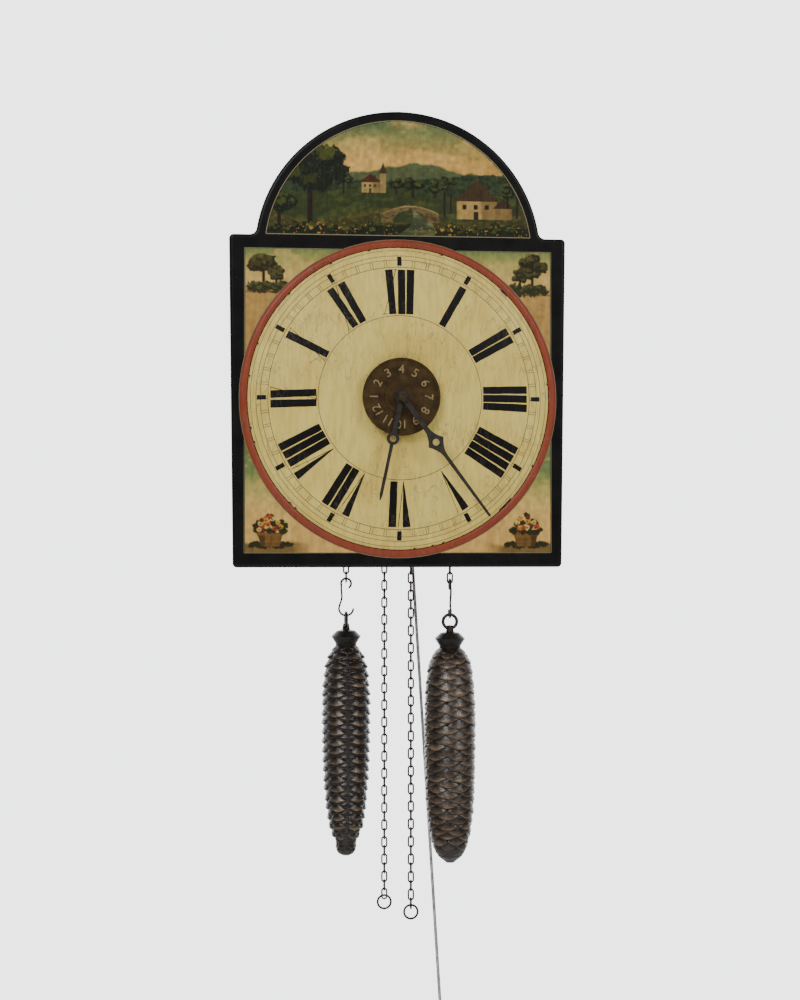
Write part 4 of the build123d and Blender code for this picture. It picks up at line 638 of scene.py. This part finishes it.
def arch_scene(x, z):
    """A stream valley: a broad oak on the left, a chapel on the hill, a farmhouse on the right."""
    c = Canvas(x, z)
    c.gradient(
        152, 200,
        [(0, (0.50, 0.33, 0.15)), (0.4, (0.46, 0.32, 0.15)), (0.72, (0.26, 0.26, 0.14)), (1, (0.085, 0.15, 0.10))],
    )
    haze = cloud(x, z * 2.6, 30, 3)
    c.lay(np.clip((haze - 0.52) * 3, 0, 0.55) * (z > 158), (0.60, 0.43, 0.22))
    far = 163 + 4 * np.sin(x / 15 + 0.6) + 5 * cloud(x, x * 0, 9, 11)
    c.lay(c.below(far, 1.4), (0.105, 0.130, 0.085))
    mid = 156 + 3.5 * np.sin(x / 23 - 0.9) + 5 * cloud(x, x * 0, 6, 12)
    c.lay(c.below(mid, 0.9), (0.050, 0.078, 0.046))
    rows = cloud(x, z * 1.6, 5, 17)
    c.lay(c.below(mid, 0.9) * np.clip((rows - 0.5) * 6, 0, 0.8), (0.022, 0.040, 0.022))
    near = 146 + 5.0 * np.exp(-(((x + 20) / 26) ** 2)) + 2.5 * cloud(x, x * 0, 4, 13)
    c.lay(c.below(near, 0.8), (0.046, 0.064, 0.026))
    c.lay(c.below(near, 0.8) * np.clip((cloud(x, z * 2, 7, 18) - 0.5) * 4, 0, 0.8), (0.085, 0.105, 0.040))
    c.house(-27, 148, 13, 7.5, 6, ((0.34, 0.26, 0.15), (0.085, 0.036, 0.020)))
    c.lay(c.box(-13.6, -9.4, 148, 162), (0.29, 0.22, 0.13))
    c.lay(c.gable(-14.4, -8.6, 162, 170), (0.06, 0.05, 0.035))
    for k, (tx, foot, h, w) in enumerate(((-40, 147, 14, 13), (-2, 147, 12, 12), (10, 145, 15, 14), (26, 145, 12, 13))):
        c.tree(tx, foot, h, w, 610 + 9 * k)
    middle = 4 + 16 * np.sin((z - 112) / 11) * np.clip((150 - z) / 30, 0, 1)
    water = (np.abs(x - middle) < np.clip((136 - z) * 0.75, 1.3, 15)) & (z < 141)
    c.lay(water * 0.96, (0.070, 0.092, 0.066))
    c.lay(water * np.clip((cloud(x * 0.7, z * 5, 9, 21) - 0.5) * 4, 0, 0.8), (0.19, 0.20, 0.13))
    # stone bridge over the stream
    crown = 138.5 - ((x - 8) / 13) ** 2 * 2.2
    span = (z < crown) & (z > 127) & (np.abs(x - 8) < 21)
    hollow = ((x - 8) / 12.5) ** 2 + ((z - 127) / 8.5) ** 2 < 1
    c.lay(span & ~hollow, (0.165, 0.130, 0.080))
    c.lay((span & ~hollow) * np.clip((cloud(x * 1.5, z * 3, 3, 23) - 0.48) * 5, 0, 0.8), (0.070, 0.052, 0.032))
    c.lay((np.abs(z - crown) < 0.5) & (np.abs(x - 8) < 21), (0.27, 0.22, 0.13))
    bank = 131 + 4.5 * np.sin(x / 17 + 2) + 3 * cloud(x, x * 0, 5, 14)
    c.lay(c.below(bank, 1.2) * (1 - water) * (1 - span), (0.062, 0.066, 0.026))
    c.lay(c.below(bank, 1.2) * (1 - water) * (1 - span) * np.clip((cloud(x, z * 2, 4, 28) - 0.5) * 5, 0, 0.8), (0.125, 0.115, 0.045))
    c.house(42, 130, 29, 13, 15, ((0.35, 0.26, 0.14), (0.070, 0.044, 0.024)))
    c.lay(c.box(70, 82, 130, 138), (0.22, 0.16, 0.085))
    c.lay(c.gable(68, 84, 138, 145), (0.060, 0.038, 0.020))
    for k, (tx, foot, h, w) in enumerate(((33, 132, 36, 9), (37.5, 134, 29, 8), (86, 131, 30, 15), (79, 138, 22, 14))):
        c.tree(tx, foot, h, w, 700 + 13 * k, 9)
    c.tree(-64, 125, 62, 46, 811, 26)
    c.tree(-86, 122, 30, 24, 823, 12)
    front = 121.5 + 2.5 * np.sin(x / 12 + 1) + 3 * cloud(x, x * 0, 4, 15)
    c.lay(c.below(front, 1.5) * (1 - water * 0.8), (0.022, 0.028, 0.010))
    for k in range(13):
        px = -90 + 14.4 * k
        if abs(px - 8) > 20:
            c.tree(px, 115, 11 + 3 * math.sin(3.1 * k), 13, 900 + 17 * k)
    flowers = (cloud(x, z, 1.5, 33, 2) > 0.76) & (z < 126) & (z > 118)
    c.lay(flowers * 0.8, (0.42, 0.26, 0.10))
    c.grain(0.32, 77)
    c.varnish()
    return c.rgb


def flower_basket(c, cx, foot, side):
    """A wicker basket of garden flowers with leaves at its foot."""
    for k in range(10):
        lx = cx - 13 + 2.9 * k
        c.lay(c.blob(lx, foot + 1 + math.sin(k * 1.7), 3.2, 1.9, 1.2, 520 + k, 1.2), (0.040, 0.040, 0.016))
    slope = np.abs(c.x - cx) < 6.5 + (c.z - foot) * 0.28
    body = slope & (c.z > foot) & (c.z < foot + 9)
    c.lay(body * 1.0, (0.13, 0.075, 0.030))
    weave = np.sin(c.x * 2.9) * np.sin(c.z * 3.6)
    c.lay(body * np.clip(weave * 1.6, 0, 0.8), (0.30, 0.19, 0.075))
    c.lay(body * ((c.x - cx) * side > 3.5) * 0.5, (0.040, 0.024, 0.012))
    c.lay((np.abs(c.z - foot - 9) < 0.8) & (np.abs(c.x - cx) < 9.6), (0.20, 0.12, 0.05))
    rng = random.Random(41 + side)
    for k in range(26):
        bx = cx + (rng.random() - 0.5) * 21
        bz = foot + 10 + rng.random() * 13 * (1 - (abs(bx - cx) / 13) ** 2)
        c.lay(c.blob(bx, bz, 2.4, 2.0, 1.2, 560 + k, 1.1), (0.035, 0.042, 0.016))
    tones = ((0.40, 0.10, 0.05), (0.46, 0.30, 0.08), (0.50, 0.42, 0.24), (0.16, 0.045, 0.03))
    for k in range(17):
        bx = cx + (rng.random() - 0.5) * 18
        bz = foot + 11 + rng.random() * 11 * (1 - (abs(bx - cx) / 12) ** 2)
        c.lay(c.blob(bx, bz, 1.75, 1.6, 0.7, 600 + k, 0.9), tones[k % 4])
        c.lay(c.blob(bx, bz - 0.4, 0.7, 0.6, 0.6, 640 + k, 0.6) * 0.8, (0.07, 0.035, 0.02))


def corner_scene(x, z, top, side):
    """A corner picture: two trees over bushes above, a basket of flowers below."""
    c = Canvas(x, z)
    low, high = (58, 107) if top else (-110, -52)
    stops = [(0, (0.52, 0.37, 0.20)), (0.5, (0.54, 0.41, 0.22)), (0.78, (0.40, 0.36, 0.18)), (1, (0.17, 0.23, 0.125))]
    c.gradient(low, high, stops)
    haze = cloud(x, z * 2, 12, 9 + side)
    c.lay(np.clip((haze - 0.52) * 3, 0, 0.4), (0.58, 0.42, 0.22))
    if top:
        ground = 77 + 1.5 * np.sin(x / 6) + 2 * cloud(x, x * 0, 5, 5)
        reach = np.clip((np.abs(x) - 66) / 12, 0, 1)
        c.lay(c.below(ground, 2.5) * reach * 0.55, (0.30, 0.20, 0.09))
        dark, lit = (0.034, 0.031, 0.015), (0.135, 0.125, 0.055)
        for k, (shift, h, w) in enumerate(((7, 28, 20), (16, 17, 13))):
            c.tree((104 - shift) * side, 77 + k, h, w, 300 + 11 * k + side * 3, 18, dark, lit)
        for k in range(9):
            bx = side * (105 - 3.4 * k)
            c.lay(c.blob(bx, 79 + 1.6 * math.sin(2.3 * k), 4.4, 3.4, 1.5, 330 + k, 1.3), (0.042, 0.046, 0.022))
            c.lay(c.blob(bx - 0.8, 80.4 + 1.6 * math.sin(2.3 * k), 2.6, 1.4, 1.8, 345 + k, 0.9) * 0.6, (0.15, 0.15, 0.07))
        c.lay(np.clip(1 - np.abs(z - 75.6 + x * 0) / 1.1, 0, 1) * reach * 0.7, (0.10, 0.058, 0.026))
    else:
        shade = -105 + 1.2 * np.sin(x / 7) + 2 * cloud(x, x * 0, 5, 6)
        reach = np.clip((np.abs(x) - 60) / 16, 0, 1)
        c.lay(c.below(shade, 2.5) * reach * 0.8, (0.12, 0.080, 0.036))
        flower_basket(c, 92 * side, -106, side)
    c.grain(0.22, 90 + side)
    c.varnish()
    return c.rgb


def painted_grid(name, xs, zs, inside, colours, lift):
    """A grid mesh over part of the flat face, coloured point by point, outside ones left out."""
    x, z = np.meshgrid(xs, zs, indexing="ij")
    keep = inside(x, z)
    rgb = colours(x, z)
    ids = -np.ones(x.shape, int)
    ids[keep] = np.arange(keep.sum())
    verts = [(a, FACE_Y - lift, b + DIAL_Z) for a, b in zip(x[keep], z[keep])]
    quad = keep[:-1, :-1] & keep[1:, :-1] & keep[:-1, 1:] & keep[1:, 1:]
    i, j = np.nonzero(quad)
    faces = np.stack([ids[i, j], ids[i + 1, j], ids[i + 1, j + 1], ids[i, j + 1]], -1).tolist()
    obj = add_mesh(name, verts, faces, PICTURE)
    layer = obj.data.color_attributes.new("paint", "FLOAT_COLOR", "POINT")
    values = np.ones((int(keep.sum()), 4), np.float32)
    values[:, :3] = rgb[keep]
    layer.data.foreach_set("color", values.ravel())
    return obj


ARCH_CENTRE = 103.8
PICTURE_R = 96.4
PICTURE_Z = 117.2


def paint_pictures():
    """The landscape in the arch and the four small ones in the corners, each with a pale line."""
    xs = np.arange(-97, 97.01, 0.5)
    zs = np.arange(PICTURE_Z, ARCH_CENTRE + PICTURE_R, 0.5)
    painted_grid(
        "arch_picture", xs, zs,
        lambda x, z: (x**2 + (z - ARCH_CENTRE) ** 2 < (PICTURE_R - 0.3) ** 2), arch_scene, 0.08,
    )
    for top in (True, False):
        for side in (-1, 1):
            xs = np.arange(26, 110.3, 0.5) * side
            zs = np.arange(26, 106.6, 0.5) if top else np.arange(-110.3, -26, 0.5)
            painted_grid(
                "corner_{}_{}".format("top" if top else "low", "right" if side > 0 else "left"),
                xs, zs,
                lambda x, z: (x**2 + z**2 > 114.0**2) & (np.abs(x) < 110.6),
                lambda x, z, t=top, s=side: corner_scene(x, z, t, s), 0.08,
            )
    edge = []
    start = math.degrees(math.acos((PICTURE_Z - ARCH_CENTRE) / PICTURE_R))
    rows = []
    for i in range(121):
        t = math.radians(-start + 2 * start * i / 120)
        row = [
            (r * math.sin(t), ARCH_CENTRE + r * math.cos(t)) for r in (PICTURE_R - 0.3, PICTURE_R + 0.3)
        ]
        rows.append(row)
    edge.append(drape("edge", rows, PALE_LINE, 0.14))
    half = PICTURE_R * math.sin(math.radians(start))
    edge.append(bar("edge", (-half, PICTURE_Z), (half, PICTURE_Z), 0.6, 0.6, PALE_LINE, 0.14, 24))
    for x0, z0, x1, z1 in (
        (-110.6, -110.6, -110.6, -30), (110.6, -110.6, 110.6, -30), (-110.6, 30, -110.6, 106.9),
        (110.6, 30, 110.6, 106.9), (-110.6, -110.6, -30, -110.6), (30, -110.6, 110.6, -110.6),
        (-110.6, 106.9, -40, 106.9), (40, 106.9, 110.6, 106.9),
    ):
        edge.append(bar("edge", (x0, z0), (x1, z1), 0.4, 0.4, PALE_LINE, 0.14, 12))
    join(edge, "pale_edge_lines")


# Alarm disc numbers


def alarm_numbers():
    """Raised numbers round the alarm disc, reading from outside."""
    made = []
    front_y = -91.5 - 11.5 - 1.8 - 3.6 - 1.2
    for number in range(1, 13):
        angle = (number - 4) * 30
        t = math.radians(angle)
        curve = bpy.data.curves.new("number", "FONT")
        curve.body = str(number)
        curve.size = 8.6 * MM
        curve.align_x = "CENTER"
        curve.align_y = "CENTER"
        curve.extrude = 0.35 * MM
        curve.bevel_depth = 0.10 * MM
        curve.resolution_u = 4
        obj = bpy.data.objects.new("number", curve)
        bpy.context.scene.collection.objects.link(obj)
        obj.rotation_euler = (math.radians(90), t, 0)
        obj.location = Vector((19.2 * math.sin(t), front_y - 0.2, 19.2 * math.cos(t) + DIAL_Z)) * MM
        bpy.context.view_layer.update()
        mesh = bpy.data.meshes.new_from_object(obj.evaluated_get(bpy.context.evaluated_depsgraph_get()))
        mesh.transform(obj.matrix_world)
        bpy.data.objects.remove(obj)
        mesh.materials.clear()
        mesh.materials.append(RUBBED_BRASS)
        piece = bpy.data.objects.new("alarm_number", mesh)
        bpy.context.scene.collection.objects.link(piece)
        made.append(piece)
    numbers = join(made, "alarm_numbers")
    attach(numbers, "alarm_disc")


# Cone weights

GOING_CONE_SHAPE = (
    (0.0, 0.42), (0.02, 0.58), (0.05, 0.75), (0.10, 0.88), (0.15, 0.94), (0.25, 1.0), (0.45, 0.985),
    (0.55, 0.97), (0.65, 0.93), (0.75, 0.86), (0.85, 0.74), (0.90, 0.60), (0.925, 0.48),
    (0.945, 0.42), (0.975, 0.41), (0.99, 0.32), (1.0, 0.16),
)
ALARM_CONE_SHAPE = (
    (0.0, 0.42), (0.02, 0.60), (0.05, 0.76), (0.09, 0.86), (0.16, 0.94), (0.28, 0.99), (0.40, 1.0),
    (0.55, 0.985), (0.68, 0.955), (0.78, 0.90), (0.87, 0.80), (0.93, 0.66), (0.97, 0.46), (1.0, 0.16),
)


# columns of scales, rows' spacing in mm, a scale's half height in rows and half width in columns,
# and how much of that the scales between the columns have
GOING_SCALES = 6, 7.1, 0.34, 0.46, 0.55
ALARM_SCALES = 6, 7.8, 0.42, 0.52, 1


def scale_relief(th, depth_mm, length, pattern, rng):
    """Height between 0 and 1 of overlapping scales, each rising to a lip at its lower edge."""
    columns, pitch, thick, reach, between = pattern
    height = np.zeros_like(th)
    col_w = 2 * math.pi / columns
    for base in range(2 * columns):
        odd = base % 2
        centre = (base + 0.5) * col_w / 2 if between == 1 else (base + 1) * col_w / 2
        full = 1.0 if not odd else between
        sway = rng.normal(0, 1, (64, 3))
        u = (th - centre + math.pi) % (2 * math.pi) - math.pi
        w = np.abs(u / (col_w * reach * (0.6 + 0.4 * full)))
        half = thick * full * np.clip(1 - w**1.8, 0, 1)
        for row in range(int(length / pitch) + 2):
            jz, jh, jt = sway[row % 64]
            middle = (row + 0.5 * odd) * pitch + jz * 0.35
            v = (depth_mm - middle) / pitch + 0.10 * jt * u / col_w - 0.06 * (1 - w**2)
            d = v / np.maximum(half, 1e-3)
            climb = np.clip((d + 1.0) / 1.75, 0, 1) ** 0.8
            lip = np.sqrt(np.clip((1.12 - d) / 0.45, 0, 1))
            rise = (0.25 + 0.75 * climb) * lip * full * (1 - 0.35 * w**2) * (1 + 0.08 * jh)
            height = np.where((w < 1) & (np.abs(d) < 1.12), np.maximum(height, rise), height)
    return np.clip(height, 0, 1)


def cone_weight(node, max_r, shape, pattern, depth, seed):
    """A cast fir cone: staggered columns of scales on the body's shape."""
    low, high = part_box(node)
    cx, cy = (low[0] + high[0]) / 2 / MM, (low[1] + high[1]) / 2 / MM
    top, tip = high[2] / MM, low[2] / MM
    length = top - tip
    around, along = 240, 560
    theta = np.arange(around) / around * 2 * math.pi
    share = np.linspace(0, 1, along)
    radius = max_r * np.interp(share, [p[0] for p in shape], [p[1] for p in shape])
    th, sh = np.meshgrid(theta, share, indexing="ij")
    height = scale_relief(th, sh * length, length, pattern, np.random.default_rng(seed))
    fade = np.clip(sh * 22, 0, 1) * np.clip((0.97 - sh) * 14, 0.25, 1)
    r = np.clip(radius[None, :] - depth * fade * (1 - height), 0.3, None)
    verts = np.stack([cx + r * np.sin(th), cy - r * np.cos(th), top - sh * length], -1).reshape(-1, 3)
    ids = np.arange(around * along).reshape(around, along)
    nxt = np.roll(ids, -1, axis=0)
    faces = np.stack([ids[:, :-1], ids[:, 1:], nxt[:, 1:], nxt[:, :-1]], -1).reshape(-1, 4).tolist()
    faces.append(ids[:, 0].tolist())
    faces.append(ids[::-1, -1].tolist())
    obj = add_mesh(node + "_casting", verts.tolist(), faces, CONE, True)
    layer = obj.data.color_attributes.new("lighter_tone_share", "FLOAT_COLOR", "POINT")
    # Lighter tone on the high lower lips of the scales, partly rubbed paint and partly a painted highlight; where the
    # relief is low the dark tone stays as painted shade in the hollows.
    lighter_tone_share = np.clip((height * fade + 0.35 * (1 - fade) - 0.45) * 1.8, 0, 1) ** 1.4
    values = np.ones((around * along, 4), np.float32)
    values[:, :3] = lighter_tone_share.reshape(-1, 1)
    layer.data.foreach_set("color", values.ravel())
    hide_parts(node)
    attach(obj, node)


CAD_OBJECTS = set(bpy.context.scene.objects)
paint_dial()
ring_paint()
paint_pictures()
for painted in set(bpy.context.scene.objects) - CAD_OBJECTS:
    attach(painted, "movement")
alarm_numbers()
cone_weight("going_weight", 18.8, GOING_CONE_SHAPE, GOING_SCALES, 1.9, 5)
cone_weight("alarm_weight", 19.4, ALARM_CONE_SHAPE, ALARM_SCALES, 2.1, 9)


# Stage, lights and camera


def backdrop():
    """A surround that is bright behind the clock and dimmer in front of it, as in a studio."""
    world = bpy.data.worlds.new("surround")
    bpy.context.scene.world = world
    world.use_nodes = True
    tree = world.node_tree
    back = tree.nodes["Background"]
    back.inputs[0].default_value = (0.97, 0.98, 1.0, 1)
    way = tree.nodes.new("ShaderNodeTexCoord")
    split = tree.nodes.new("ShaderNodeSeparateXYZ")
    tree.links.new(way.outputs["Generated"], split.inputs[0])
    span = tree.nodes.new("ShaderNodeMapRange")
    span.interpolation_type = "SMOOTHSTEP"
    span.inputs["From Min"].default_value = 0.1
    span.inputs["From Max"].default_value = 0.92
    span.inputs["To Min"].default_value = 0.24
    span.inputs["To Max"].default_value = 3.4
    tree.links.new(split.outputs[1], span.inputs["Value"])
    tree.links.new(span.outputs[0], back.inputs[1])


def stage_and_light():
    """Pale floor under the clock and soft lamps in front of it."""
    n = Nodes("pale_floor")
    n.set("Base Color", (0.84, 0.84, 0.84))
    n.set("Roughness", 0.9)
    mesh = bpy.data.meshes.new("floor")
    corners = [(-2.5, -3.5, -0.95), (2.5, -3.5, -0.95), (2.5, 1.4, -0.95), (-2.5, 1.4, -0.95)]
    mesh.from_pydata(corners, [], [(0, 1, 2, 3)])
    floor = bpy.data.objects.new("floor", mesh)
    mesh.materials.append(n.mat)
    bpy.context.scene.collection.objects.link(floor)
    backdrop()
    for name, place, size, power, target in (
        ("key", (-0.9, -1.7, 1.0), 0.8, 36.0, (0, -0.09, -0.12)),
        ("fill", (1.2, -1.6, 0.7), 0.8, 22.0, (0, -0.09, -0.2)),
        ("low", (-0.3, -1.3, -1.0), 0.8, 4.0, (0, -0.05, -0.4)),
    ):
        lamp = bpy.data.lights.new(name, "AREA")
        lamp.size = size
        lamp.energy = power
        obj = bpy.data.objects.new(name, lamp)
        obj.location = place
        obj.rotation_mode = "QUATERNION"
        obj.rotation_quaternion = (Vector(target) - Vector(place)).to_track_quat("-Z", "Y")
        bpy.context.scene.collection.objects.link(obj)


def camera():
    """The photograph's camera: slightly left of the clock, turned a little to the right."""
    data = bpy.data.cameras.new("photo_camera")
    data.lens = 64.8
    data.sensor_width = 36.0
    data.clip_start = 0.05
    data.clip_end = 60.0
    obj = bpy.data.objects.new("photo_camera", data)
    obj.location = (-0.1323, -1.3747, -0.2042)
    yaw, pitch = math.radians(5.92), math.radians(1.13)
    ahead = Vector(
        (math.sin(yaw) * math.cos(pitch), math.cos(yaw) * math.cos(pitch), math.sin(pitch))
    )
    obj.rotation_mode = "QUATERNION"
    obj.rotation_quaternion = ahead.to_track_quat("-Z", "Y")
    bpy.context.scene.collection.objects.link(obj)
    bpy.context.scene.camera = obj


stage_and_light()
camera()

bpy.context.view_layer.update()
